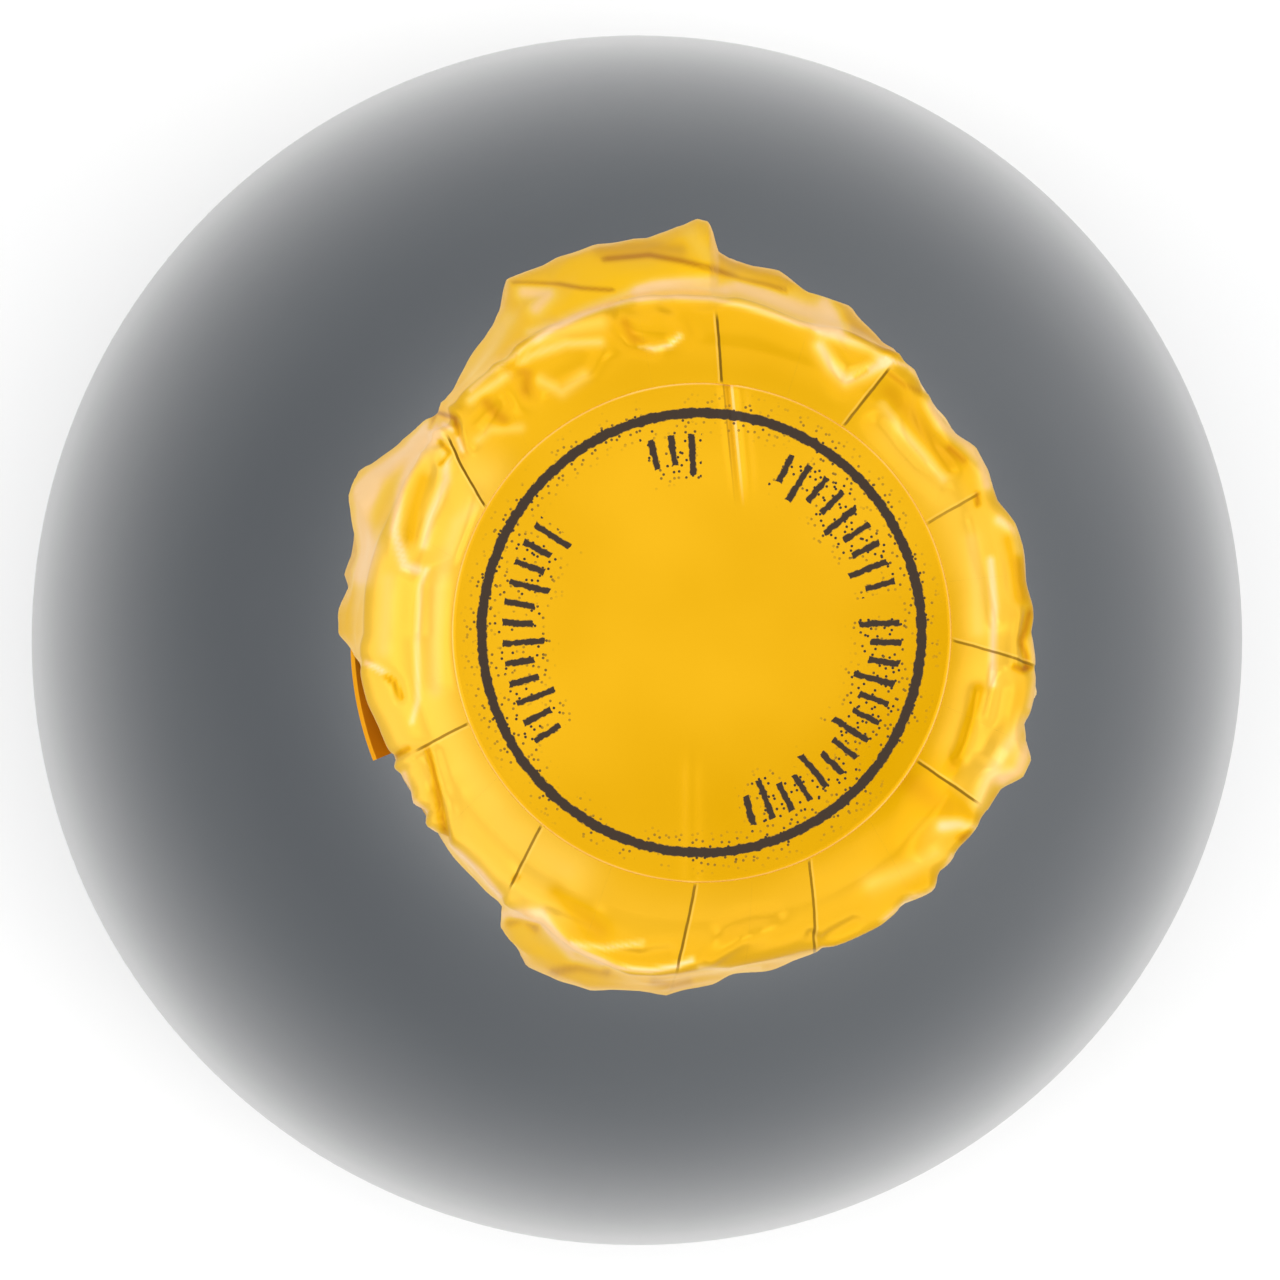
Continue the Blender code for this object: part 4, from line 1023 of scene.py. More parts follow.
def glass_profile(steps):
    """The bottle's closed outline, from the tip of the punt round to its inner tip."""
    bearing_outer = BODY_RADIUS - HEEL_ROUNDING
    bearing_inner = bearing_outer - BEARING_WIDTH
    punt = []
    for share in np.linspace(PUNT_TIP_SHARE, 1, steps):
        punt.append((bearing_inner * share, PUNT_HEIGHT * math.cos(math.pi / 2 * share)))

    def corner(radius, foot, rounding, first):
        """A quarter turn from the bottom up to the side."""
        arcs = [math.pi / 2 * step / HEEL_STEPS for step in range(first, HEEL_STEPS + 1)]
        return [
            (radius + rounding * math.sin(arc), foot + rounding * (1 - math.cos(arc)))
            for arc in arcs
        ]

    heights = even_steps(BODY_TOP, NECK_TOP, 2 * steps)
    shoulder = [(shoulder_radius(height), height) for height in heights]
    mouth = rounded([
        (NECK_RADIUS, NECK_TOP + MOULD_ROUNDING),
        (NECK_RADIUS, RING_FOOT),
        (RING_RADIUS, RING_FOOT + MOULD_ROUNDING),
        (RING_RADIUS, GROOVE_FOOT - MOULD_ROUNDING),
        (GROOVE_RADIUS, GROOVE_FOOT),
        (GROOVE_RADIUS, BEAD_FOOT - MOULD_ROUNDING),
        (BEAD_RADIUS, BEAD_FOOT),
        (BEAD_RADIUS, BOTTLE_HEIGHT),
        (BORE_RADIUS, BOTTLE_HEIGHT),
        (BORE_RADIUS, BORE_FOOT),
    ], MOUTH_ROUNDING, 4)
    inner = []
    for radius, height in shoulder:
        share = (height - BODY_TOP) / (NECK_TOP - BODY_TOP)
        inner.append((radius - blend(GLASS_WALL, NECK_RADIUS - BORE_DEEP_RADIUS, share), height))
    rounding = BODY_RADIUS - GLASS_WALL - bearing_inner
    inner_heel = corner(bearing_inner, GLASS_BOTTOM, rounding, 1)
    floor = [(radius, height + GLASS_BOTTOM) for radius, height in punt]
    outside = punt + corner(bearing_outer, 0, HEEL_ROUNDING, 0) + shoulder + mouth
    return outside + inner[::-1] + inner_heel[::-1] + floor[::-1]


class BottleGlassSettings(PropertyGroup):
    """Sizes and colours of the glass."""

    glass_colour: FloatVectorProperty(
        name="Glass Colour", description="Colour of the glass body",
        default=(0.004, 0.006, 0.008), **COLOUR)
    glass_roughness: FloatProperty(
        name="Glass Roughness", description="Spread of the glass's reflections",
        default=0.16, **SHARE)
    segments: IntProperty(
        name="Segments", description="Steps round the bottle", default=192, min=24, max=512)


class BottleFoilSettings(PropertyGroup):
    """Sizes and colours of the foil capsule."""

    foil_deep: FloatVectorProperty(
        name="Deep Yellow", description="Darker tone of the foil",
        default=(0.64, 0.325, 0.0005), **COLOUR)
    foil_light: FloatVectorProperty(
        name="Light Yellow", description="Lighter tone of the foil",
        default=(0.73, 0.395, 0.010), **COLOUR)
    # Painted shade in the seams' lines and along the dent
    crease_shade_colour: FloatVectorProperty(
        name="Crease Colour", description="Tone in the sharp folds",
        default=(0.17, 0.085, 0.004), **COLOUR)
    # Painted shade in the hood's folds and in the dent
    fold_shade_colour: FloatVectorProperty(
        name="Fold Colour", description="Deep orange of the shaded folds",
        default=(0.42, 0.13, 0.0005), **COLOUR)
    # Painted shade: the tear tab's more orange tone
    tab_shade_colour: FloatVectorProperty(
        name="Tab Colour", description="Orange tone of the tear tab",
        default=(0.95, 0.42, 0.02), **COLOUR)
    # Painted light on the steep sides of the hood
    wall_light_colour: FloatVectorProperty(
        name="Wall Colour", description="Tone of the steep sides",
        default=(1.0, 0.56, 0.004), **COLOUR)
    # Painted highlight on the lit rims of the hood, the dent and the disc's edge
    rim_highlight_colour: FloatVectorProperty(
        name="Rim Colour", description="Pale tone of the lit rims",
        default=(1.0, 0.66, 0.34), **COLOUR)
    # Painted highlight: soft yellow of the roll's broad faces
    broad_highlight_colour: FloatVectorProperty(
        name="Glow Colour", description="Soft yellow of the roll's broad faces",
        default=(1.0, 0.72, 0.16), **COLOUR)
    ink_colour: FloatVectorProperty(
        name="Ink Colour", description="Printed ring and strokes",
        default=(0.040, 0.028, 0.022), **COLOUR)
    foil_roughness: FloatProperty(
        name="Foil Roughness", description="Spread of the foil's reflections",
        default=0.36, **SHARE)
    foil_metallic: FloatProperty(
        name="Metal Share", description="How much of the foil's metal shows through",
        default=0.28, **SHARE)
    foil_coat: FloatProperty(
        name="Lacquer", description="Strength of the clear lacquer", default=0.06, **SHARE)
    grain_strength: FloatProperty(
        name="Grain", description="Strength of the fine surface grain", default=0.25, **SHARE)
    ring_radius: FloatProperty(
        name="Ring Radius", description="Middle radius of the printed ring",
        default=12.22 * MM, **LENGTH)
    ring_width: FloatProperty(
        name="Ring Width", description="Width of the printed ring", default=0.56 * MM, **LENGTH)
    stroke_count: IntProperty(
        name="Strokes", description="Places for plain strokes round the disc",
        default=60, min=3, max=360)
    stroke_radius: FloatProperty(
        name="Stroke Radius", description="Middle radius of the strokes",
        default=9.9 * MM, **LENGTH)
    stroke_length: FloatProperty(
        name="Stroke Length", description="Length of the longest strokes",
        default=2.3 * MM, **LENGTH)
    stroke_width: FloatProperty(
        name="Stroke Width", description="Width of the strokes", default=0.36 * MM, **LENGTH)
    hood_segments: IntProperty(
        name="Hood Segments", description="Steps round the hood", default=756, min=60, max=900)
    crumple: FloatProperty(
        name="Crumple", description="Depth of the crumples low on the hood",
        default=0.9 * MM, **LENGTH)


class BottleWireSettings(PropertyGroup):
    """Sizes of the wirehood."""

    leg_wire_radius: FloatProperty(
        name="Leg Wire Radius", description="Radius of the leg wires",
        default=0.4 * MM, **LENGTH)
    collar_wire_radius: FloatProperty(
        name="Collar Wire Radius", description="Radius of the collar wire",
        default=0.55 * MM, **LENGTH)


class BottleStageSettings(PropertyGroup):
    """Floor and light."""

    # Floor colour inside its painted pool of light
    floor_colour: FloatVectorProperty(
        name="Floor Colour", description="Colour of the floor",
        default=(0.98, 0.98, 0.98), **COLOUR)
    key_power: FloatProperty(
        name="Key Light", description="Power of each lamp in watts", default=1.5, min=0)


class MakeGlass(Operator):
    """Make the glass bottle"""

    bl_idname = "bottle.make_glass"
    bl_label = "Glass"

    def execute(self, context):
        settings = context.scene.bottle_glass
        piece = turned_piece("glass_bottle", glass_profile(GLASS_LEVELS), settings.segments)
        finish_piece(piece, glass_material(settings), "bottle", "bottle_glass")
        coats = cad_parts["wine"].data.materials
        coats.clear()
        coats.append(wine_material())
        return {"FINISHED"}


class MakeCork(Operator):
    """Make the cork body and its two natural discs"""

    bl_idname = "bottle.make_cork"
    bl_label = "Cork"

    def execute(self, context):
        material = cork_material(
            "pressed_cork_grain", (0.60, 0.38, 0.19), (0.32, 0.17, 0.07), 900.0)
        foot, top, head = CORK_LOW.z, CORK_HIGH.z, CORK_HIGH.x
        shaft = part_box("cork_disc_upper")[1].x
        seat = BOTTLE_HEIGHT + CORK_SEAT_GAP
        profile = rounded([
            (AXIS_GAP, foot),
            (shaft, foot),
            (shaft, seat),
            (CORK_SEAT_RADIUS, seat),
            (head, blend(seat, top, CORK_SWELL_SHARE)),
            (head, top - CORK_SHOULDER),
            (head - CORK_CHAMFER, top - CORK_CHAMFER),
            (head - CORK_CROWN_INSET, top),
            (AXIS_GAP, top),
        ], CORK_ROUNDING)
        piece = turned_piece("cork", profile, CORK_STEPS)
        finish_piece(piece, material, "cork", "cork_body")
        material = cork_material(
            "natural_cork_grain", (0.66, 0.44, 0.24), (0.42, 0.24, 0.10), 350.0)
        for rank in ("upper", "lower"):
            low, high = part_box(f"cork_disc_{rank}")
            profile = [(AXIS_GAP, low.z), (shaft, low.z), (shaft, high.z), (AXIS_GAP, high.z)]
            profile = rounded(profile, CORK_DISC_ROUNDING)
            disc = turned_piece(f"natural_cork_disc_{rank}", profile, CORK_STEPS)
            finish_piece(disc, material, "cork", f"cork_disc_{rank}")
        return {"FINISHED"}


class MakePlate(Operator):
    """Make the metal plate on the cork"""

    bl_idname = "bottle.make_plate"
    bl_label = "Crown Plate"

    def execute(self, context):
        radius, foot, top = PLATE_HIGH.x, PLATE_LOW.z, PLATE_HIGH.z
        inner = radius - PLATE_SHEET
        flat = top - PLATE_RELIEF
        under = flat - PLATE_SHEET
        pressed = under + PLATE_RELIEF
        profile = [(AXIS_GAP, pressed), (PLATE_PRESS_RADII[0], pressed)]
        profile += [(PLATE_PRESS_RADII[1], under), (inner, under), (inner, foot)]
        profile += [(radius, foot), (radius, flat), (PLATE_RISE_RADII[0], flat)]
        profile += [(rise, top) for rise in PLATE_RISE_RADII[1:]] + [(AXIS_GAP, top)]
        piece = turned_piece("metal_plate", rounded(profile, PLATE_ROUNDING), PLATE_STEPS)
        finish_piece(piece, plate_material(), "wirehood", "crown_plate")
        return {"FINISHED"}


def disc_relief(x, y):
    """Height of the disc's soft waves, of its one dent and of a faint streak."""
    points = np.stack([x, y, np.zeros_like(x)], axis=-1)
    lift = WAVE_HEIGHT * (value_noise(points / WAVE_CELL, WAVE_SEED) - 0.5)
    off = x - DENT_START - DENT_SLOPE * (DISC_RADIUS - y)
    for distance, outward, (width, height, start, end) in (
        (off, y, DENT_GROOVE),
        (off - DENT_RIDGE_OFFSET, y, DENT_RIDGE),
        (x - DISC_STREAK_PLACE, -y, DISC_STREAK),
    ):
        lift = lift + height * bell(distance, width) * smooth_step(outward, start, end)
    return lift


class MakeFoilDisc(Operator):
    """Make the printed top disc of the capsule"""

    bl_idname = "bottle.make_foil_disc"
    bl_label = "Top Disc"

    def execute(self, context):
        turns = full_circle(ROUND_STEPS)
        edge, rim = (DISC_RADIUS - inset for inset in DISC_EDGE_INSETS)
        rings = []
        for radius in (*np.linspace(DISC_AXIS_GAP, edge, DISC_LEVELS), rim, DISC_RADIUS):
            points = ring_points(radius, turns, FOIL_TOP + DISC_LIFT)
            start = DISC_RADIUS - DISC_EDGE_ROUNDING
            fall = DISC_EDGE_FALL * smooth_step(radius, start, DISC_RADIUS)
            points[:, 2] += disc_relief(points[:, 0], points[:, 1]) - fall
            rings.append(points)
        for radius in (DISC_RADIUS, DISC_AXIS_GAP):
            rings.append(ring_points(radius, turns, DISC_FOOT))
        piece = mesh_piece("printed_top_disc", rings)
        material = printed_foil_material(context.scene.bottle_foil)
        finish_piece(piece, material, "foil_cap", "foil_top_disc", sharp=0)
        return {"FINISHED"}


def outline_radius(outline, angle):
    """Radius of a measured outline at an angle, with eased steps between its points."""
    turns, radii = np.array(outline, float).T
    turns = np.concatenate([[turns[-1] - 360], turns, [turns[0] + 360]])
    radii = np.concatenate([[radii[-1]], radii, [radii[0]]]) * MM
    place = (np.degrees(angle) + 180) % 360 - 180
    place = np.where(place < turns[0], place + 360, place)
    upper = np.clip(np.searchsorted(turns, place), 1, len(turns) - 1)
    low, high = turns[upper - 1], turns[upper]
    share = blend((place - low) / (high - low), smooth_step(place, low, high), 0.3)
    return blend(radii[upper - 1], radii[upper], share)


def hood_wall(angle, height):
    """Outer radius of the hood: head, folds under it and foot, before the crumples."""
    share = (FOIL_TOP - HEAD_ROUNDING - height) / (FOIL_TOP - HEAD_ROUNDING - HOOD_LOW.z)
    radius = outline_radius(HEAD_OUTLINE, angle)
    for outline, shares in ((LOW_OUTLINE, FOLDS_SHARES), (FOOT_OUTLINE, FOOT_SHARES)):
        radius = blend(radius, outline_radius(outline, angle), smooth_step(share, *shares))
    return radius


def seam_lines(radius):
    """Angle of every seam at the given radii, in rising order, shape (levels, seams)."""
    lines = []
    for inner_angle, outer_angle, outer_radius, _ in SEAM_SHARES:
        share = (radius - DISC_RADIUS) / (outer_radius * MM - DISC_RADIUS)
        lines.append(np.radians(blend(inner_angle, outer_angle, np.clip(share, 0, 1.3))))
    return np.stack(lines, axis=-1)


def hood_columns(radius, count):
    """The mesh's columns, which run along the seams.

    Gives the angle of each, its offset from the nearest seam, and which seam that is.
    """
    lines = seam_lines(radius)
    after = np.concatenate([lines[:, 1:], lines[:, :1] + math.tau], axis=1)
    inset = SEAM_HALF_GAP / DISC_RADIUS
    count = count // len(SEAM_SHARES)
    columns = np.linspace(COLUMN_EASE, math.pi - COLUMN_EASE, count)
    shares = (1 - np.cos(columns)) / 2
    shares = ((shares - shares[0]) / (shares[-1] - shares[0]))[None, :]
    angles, offsets, nearest = [], [], []
    for rank in range(len(SEAM_SHARES)):
        low, high = lines[:, rank:rank + 1], after[:, rank:rank + 1]
        angle = blend(low + inset, high - inset, shares)
        near_low = shares < 0.5
        angles.append(angle)
        offsets.append(np.where(near_low, angle - low, angle - high) * radius[:, None])
        partner = (rank + 1) % len(SEAM_SHARES)
        nearest.append(np.where(near_low, rank, partner) + np.zeros_like(angle, int))
    return [np.concatenate(parts, axis=1) for parts in (angles, offsets, nearest)]


def seam_relief(offset, near, radius):
    """Step where the gathered foil laps over itself, and how strongly each seam shows."""
    seams = np.array(SEAM_SHARES)
    depth, outer = seams[near, 3], seams[near, 2] * MM
    share = (radius - DISC_RADIUS) / (outer - DISC_RADIUS)
    faded = depth * (1 - smooth_step(share, *SEAM_END_SHARES))
    strength = faded * smooth_step(share, *SEAM_START_SHARES)
    lap = np.where(offset > 0, np.exp(-np.abs(offset) / LAP_WIDTH), 0.0)
    return LAP_HEIGHT * depth * lap * (1 - smooth_step(share, *LAP_END_SHARES)), strength


def to_pixels(points):
    """Where the photograph shows each point, in its pixels."""
    foot = np.array(CAMERA_FOOT_PIXEL)
    shift = np.array(RING_CENTRE_PIXEL) - foot
    scale = CAMERA_DISTANCE / (CAMERA_DISTANCE + FOIL_TOP - points[..., 2])
    flat = np.stack([points[..., 0], -points[..., 1]], axis=-1) / MM * PIXELS_PER_MM
    return foot + (flat + shift) * scale[..., None]


def line_sum(table, pixels):
    """Sum of a table's soft lines, each with its width and height, at the given pixels."""
    total = np.zeros(pixels.shape[:-1])
    for width, height, *line in table:
        line = np.reshape(line, (-1, 2)).astype(float)
        away = np.full(total.shape, np.inf)
        for start, run in zip(line, np.diff(line, axis=0)):
            share = np.clip(((pixels - start) @ run) / (run @ run), 0, 1)
            gap = pixels - start - share[..., None] * run
            away = np.minimum(away, np.hypot(gap[..., 0], gap[..., 1]))
        total += height * bell(away, width)
    return total


def hood_surface(levels, count, crumple):
    """The hood's skin at the given shares of the way down: points, and each one's tones.

    The tones are the offset from the nearest seam, the seam's strength, the listed painted
    shade and highlights, and the share of the walls' painted light.
    """
    flat = HEAD_RADIUS - HEAD_ROUNDING - DISC_RADIUS
    arc = HEAD_ROUNDING * math.pi / 2
    edge_height = FOIL_TOP - HEAD_ROUNDING
    run = (flat + arc + edge_height - HOOD_LOW.z) * levels[:, None]
    on_flat = np.minimum(run, flat)
    tilt = np.clip(run - flat, 0, arc) / HEAD_ROUNDING
    on_wall = np.maximum(run - flat - arc, 0)
    base = DISC_RADIUS + on_flat + HEAD_ROUNDING * np.sin(tilt)
    angles, offset, near = hood_columns(base[:, 0], count)
    still = 0 * angles

    height = edge_height - on_wall + still
    spread = smooth_step(run, 0.3 * flat, flat + arc)
    radius = base + spread * (hood_wall(angles, height) - HEAD_RADIUS)
    level = np.where(on_wall > 0, height, edge_height + HEAD_ROUNDING * np.cos(tilt))
    fall = (on_flat / flat) ** 2 * np.clip(1 - (run - flat) / (3 * arc), 0, 1)
    level = level - HEAD_FALL * fall
    out = np.stack([np.cos(angles), np.sin(angles)], axis=-1)
    points = np.concatenate([out * radius[..., None], level[..., None]], axis=-1)
    steep = np.cos(tilt + still)[..., None]
    normal = np.concatenate([out * np.sin(tilt)[..., None], steep], axis=-1)

    step, strength = seam_relief(offset, near, base + still)
    step = step * (1 - smooth_step(on_wall, *LAP_DEPTHS))
    seen = 1 - smooth_step(FOIL_TOP - points[..., 2], *SEEN_DEPTHS)
    if crumple:
        cells = points.reshape(-1, 3)

        def shaped(noise):
            """The noise in rows and columns, about zero."""
            return noise.reshape(angles.shape) - 0.5

        calm = 1 + still
        for middle, half in CALM_ARCS:
            off = turn_between(angles, math.radians(middle))
            calm = calm - CALM_SHARE * hump(off, math.radians(half))
        folds = shaped(fold_noise(cells, *LONG_FOLDS) ** 1.5)
        folds = folds + SHORT_FOLDS_SHARE * shaped(fold_noise(cells, *SHORT_FOLDS))
        low_share = smooth_step(run, flat + 0.6 * arc, flat + arc + FOLDS_RUN)
        rise = crumple * low_share * calm * folds
        edge_share = smooth_step(run, 0.5 * flat, flat + arc)
        rise = rise + SOFT_LIFT * edge_share * shaped(value_noise(cells / SOFT_CELL, SOFT_SEED))
        rise = rise + FINE_LIFT * shaped(value_noise(cells / FINE_CELL, FINE_SEED))
        placed = line_sum(STROKES, to_pixels(points)) * MM * seen
        rise = rise + placed * smooth_step(run, 0.02 * flat, 0.2 * flat)
        points = points + normal * (rise + step)[..., None]
    # Share of the walls' painted light, which brightens the steep sides
    wall = smooth_step(run, flat + 0.5 * arc, flat + arc + WALL_LIGHT_RUN)
    wall = wall * (1 - smooth_step(FOIL_TOP - points[..., 2], *WALL_LIGHT_DEPTHS))
    return points, offset, strength, line_sum(SHADES, to_pixels(points)) * seen, wall


def hood_levels(count):
    """Level shares along the hood's skin, closer together on the top and the edge."""
    dense = count * 4 // 5
    upper = 0.5 * np.linspace(0, 1, dense, endpoint=False) ** 1.6
    return np.concatenate([upper, np.linspace(0.5, 1, count - dense)])


class MakeFoilHood(Operator):
    """Make the gathered and crumpled hood of the capsule"""

    bl_idname = "bottle.make_foil_hood"
    bl_label = "Foil Hood"

    def execute(self, context):
        settings = context.scene.bottle_foil
        count = settings.hood_segments
        outer, offset, strength, shade, wall = hood_surface(
            hood_levels(HOOD_LEVELS), count, settings.crumple)
        inner = hood_surface(hood_levels(HOOD_INNER_LEVELS), count, 0.0)[0]
        radius = np.hypot(inner[..., 0], inner[..., 1])
        keep = np.maximum(radius - HOOD_SHEET, DISC_RADIUS * HOOD_INNER_SHARE) / radius
        inner[..., :2] *= keep[..., None]
        inner[..., 2] -= HOOD_SHEET_DROP
        inner[-1, :, 2] = outer[-1, :, 2].min()
        away = np.ones(inner.shape[:2])
        # The shade attribute holds the painted shade and highlights, the wall one the walls'
        # painted light
        attributes = {
            "seam_offset": np.concatenate([offset / MM, away]),
            "seam_strength": np.concatenate([strength, 0 * away]),
            "shade": np.concatenate([np.clip(shade, -1, 1), 0 * away]),
            "wall": np.concatenate([wall, 0 * away]),
        }
        rings = np.concatenate([outer, inner[::-1]])
        piece = mesh_piece("gathered_foil_hood", rings, joined=True, attributes=attributes)
        material = foil_material("crumpled_foil", settings, creased=True)
        finish_piece(piece, material, "foil_cap", "foil_hood", sharp=0)
        return {"FINISHED"}


def foil_band(name, profile, sheet, wrinkle, seed):
    """A turned band of foil, its outer side from top to foot with soft upright wrinkles."""
    turns = full_circle(ROUND_STEPS)
    rings = []
    for radius, height in profile:
        points = ring_points(radius, turns, height)
        folds = fold_noise(points, *WRINKLES, seed) ** 2
        points[:, :2] *= (1 + wrinkle * folds / radius)[:, None]
        rings.append(points)
    rings += [ring_points(radius - sheet, turns, height) for radius, height in profile[::-1]]
    return mesh_piece(name, rings, joined=True)


class MakeFoilNeck(Operator):
    """Make the tear strip, its loose tab and the skirt of the capsule"""

    bl_idname = "bottle.make_foil_neck"
    bl_label = "Strip, Tab and Skirt"

    def execute(self, context):
        settings = context.scene.bottle_foil
        material = foil_material("neck_foil", settings)
        top, foot = STRIP_HIGH.z, STRIP_LOW.z
        sheet = 2 * FOIL_THICKNESS
        profile = [
            (blend(FLARE_RADIUS, STRIP_FOOT_RADIUS, share), blend(top, foot, share))
            for share in np.linspace(0, 1, STRIP_LEVELS)
        ]
        strip = foil_band("foil_tear_strip", profile, sheet, STRIP_WRINKLE, STRIP_SEED)
        finish_piece(strip, material, "bottle", "tear_strip")

        heights = np.linspace(SKIRT_HIGH.z, SKIRT_LOW.z, SKIRT_LEVELS)
        profile = [(shoulder_radius(height) + SKIRT_STAND, height) for height in heights]
        skirt = foil_band(
            "foil_neck_skirt", profile, SKIRT_SHEET, SKIRT_WRINKLE, SKIRT_SEED)
        finish_piece(skirt, material, "bottle", "foil_skirt")

        root, lift, end = TAB_STANDS
        sections = []
        for share in np.linspace(0, 1, TAB_SECTIONS):
            stand = root + lift * smooth_step(share, 0.0, 0.4) + end * share
            section = []
            for down, depth in ((0, 0), (0, sheet), (1, sheet), (1, 0)):
                height = blend(top - TAB_INSET, foot + TAB_INSET, down)
                along = (top - height) / (top - foot)
                radius = blend(FLARE_RADIUS, STRIP_FOOT_RADIUS, along) + stand + depth
                section.append(radius * outwards(blend(*TAB_TURNS, share)) + upwards(height))
            sections.append(section)
        tab = mesh_piece("foil_tear_tab", sections)
        # Foil with painted orange shade for the tab
        shaded = foil_material("tab_foil", settings, shaded=True)
        finish_piece(tab, shaded, "tab", "tear_tab")
        return {"FINISHED"}


class MakeLabels(Operator):
    """Make the plain front and back labels"""

    bl_idname = "bottle.make_labels"
    bl_label = "Labels"

    def execute(self, context):
        outer, inner = (BODY_RADIUS + stand for stand in LABEL_STANDS)
        for side, middle in (("front", -math.pi / 2), ("back", math.pi / 2)):
            low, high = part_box(f"{side}_label")
            half = math.asin(high.x / LABEL_HALF_RADIUS)
            rows = even_steps(low.z, high.z, LABEL_ROWS)
            section = [(outer, height) for height in rows]
            section += [(inner, height) for height in rows[::-1]]
            upward = [min(height - low.z, high.z - height) for _, height in section]
            rings, across = [], []
            for turn in even_steps(-half, half, LABEL_COLUMNS):
                angle = middle + turn
                out = outwards(angle)
                rings.append([radius * out + upwards(height) for radius, height in section])
                across.append([(half - abs(angle - middle)) * outer] * len(section))
            edges = {"across": across, "upward": [upward] * len(rings)}
            piece = mesh_piece(f"plain_{side}_label", rings, attributes=edges)
            material = paper_material(f"plain_{side}_label_paper")
            finish_piece(piece, material, "bottle", f"{side}_label")
        return {"FINISHED"}


def wire_tree(name):
    """Geometry nodes that turn a chain of edges into a round wire with closed ends."""
    tree = bpy.data.node_groups.new(name, "GeometryNodeTree")
    inputs = [
        tree.interface.new_socket(label, in_out="INPUT", socket_type="NodeSocket" + kind)
        for label, kind in (
            ("Geometry", "Geometry"), ("Wire Radius", "Float"), ("Sides", "Int"),
            ("Material", "Material"),
        )
    ]
    tree.interface.new_socket("Geometry", in_out="OUTPUT", socket_type="NodeSocketGeometry")
    start = tree.nodes.new("NodeGroupInput")
    circle = tree.nodes.new("GeometryNodeCurvePrimitiveCircle")
    tree.links.new(start.outputs["Sides"], circle.inputs["Resolution"])
    tree.links.new(start.outputs["Wire Radius"], circle.inputs["Radius"])
    steps = {}
    flow = start.outputs["Geometry"]
    for kind in (
        "MeshToCurve", "CurveSplineType", "SetSplineResolution", "CurveToMesh",
        "SetShadeSmooth", "RealizeInstances", "SetMaterial",
    ):
        node = steps[kind] = tree.nodes.new("GeometryNode" + kind)
        tree.links.new(flow, node.inputs[0])
        flow = node.outputs[0]
    tree.links.new(flow, tree.nodes.new("NodeGroupOutput").inputs["Geometry"])
    steps["CurveSplineType"].spline_type = "CATMULL_ROM"
    steps["SetSplineResolution"].inputs["Resolution"].default_value = 3
    tree.links.new(circle.outputs["Curve"], steps["CurveToMesh"].inputs["Profile Curve"])
    steps["CurveToMesh"].inputs["Fill Caps"].default_value = True
    tree.links.new(start.outputs["Material"], steps["SetMaterial"].inputs["Material"])
    return tree, [socket.identifier for socket in inputs[1:]]


def add_wire(name, points, radius, material, group, node):
    """A wire along points, made by the node group, baked to a mesh and put in the frame."""
    tree, sockets = group
    mesh = bpy.data.meshes.new(name)
    edges = [(rank, rank + 1) for rank in range(len(points) - 1)]
    mesh.from_pydata([tuple(point) for point in points], edges, [])
    guide = add_object(name + "_path", mesh)
    modifier = guide.modifiers.new("Wire", "NODES")
    modifier.node_group = tree
    for socket, value in zip(sockets, (radius, WIRE_SIDES, material)):
        modifier[socket] = value
    bpy.context.view_layer.update()
    ready = guide.evaluated_get(bpy.context.evaluated_depsgraph_get())
    baked = bpy.data.meshes.new_from_object(ready)
    guide.modifiers.remove(modifier)
    bpy.data.objects.remove(guide, do_unlink=True)
    piece = add_piece(name, baked, weld=True)
    finish_piece(piece, None, "wirehood", node, sharp=0)


def strand_points(leg_angle, side, wire_top):
    """One strand of a twisted leg, from its eyelet up and in to the top ring."""
    out, along = outwards(leg_angle), sideways(leg_angle)
    twist_top = wire_top - LEG_BEND
    eyelet_top = COLLAR_HEIGHT + EYELET_HALF_HEIGHT
    eyelet_foot = COLLAR_HEIGHT - EYELET_HALF_HEIGHT
    heights = even_steps(eyelet_foot, eyelet_top, EYELET_STEPS)[:-1]
    places = [(height, LEG_TURNS) for height in heights]
    steps = round(LEG_TURNS * TWIST_STEPS)
    for step in range(steps + 1):
        height = blend(eyelet_top, twist_top, step / steps)
        places.append((height, LEG_TURNS * (1 - step / steps)))
    points = []
    for height, turns in places:
        spread = float(hump(height - COLLAR_HEIGHT, EYELET_HALF_HEIGHT))
        offset = side * blend(STRAND_OFFSET, EYELET_OFFSET, spread)
        radius = blend(LEG_RADIUS, EYELET_RADIUS, spread)
        turn = math.tau * turns
        middle = (radius + offset * math.sin(turn)) * out + upwards(height)
        points.append(middle + offset * math.cos(turn) * along)
    bend = LEG_BEND * math.sin(math.pi / 4)
    for radius, height in (
        (LEG_RADIUS - LEG_BEND + bend, twist_top + bend),
        (LEG_RADIUS - LEG_BEND, wire_top),
        (TOP_RING_RADIUS + TOP_RING_ENTRY, wire_top),
    ):
        points.append(radius * out + side * STRAND_OFFSET * along + upwards(height))
    return points


def collar_radius(angle):
    """The collar hugs the neck and bows out through each eyelet and to the key."""
    radius = COLLAR_HUG_RADIUS
    bows = [
        (LEG_FIRST_ANGLE + math.tau * rank / LEG_COUNT, EYELET_RADIUS)
        for rank in range(LEG_COUNT)
    ]
    for middle, reach in bows + [(KEY_ANGLE, KEY_RADIUS)]:
        turn = turn_between(angle, middle)
        if abs(turn) < math.pi / LEG_COUNT:
            radius += (reach - COLLAR_HUG_RADIUS) * math.cos(turn * LEG_COUNT / 2) ** 6
    return radius


def key_place(across, reach, height):
    """A point of the key: across it, out from its middle, and up."""
    out = (KEY_RADIUS + reach) * outwards(KEY_ANGLE)
    return out + across * sideways(KEY_ANGLE) + upwards(height)


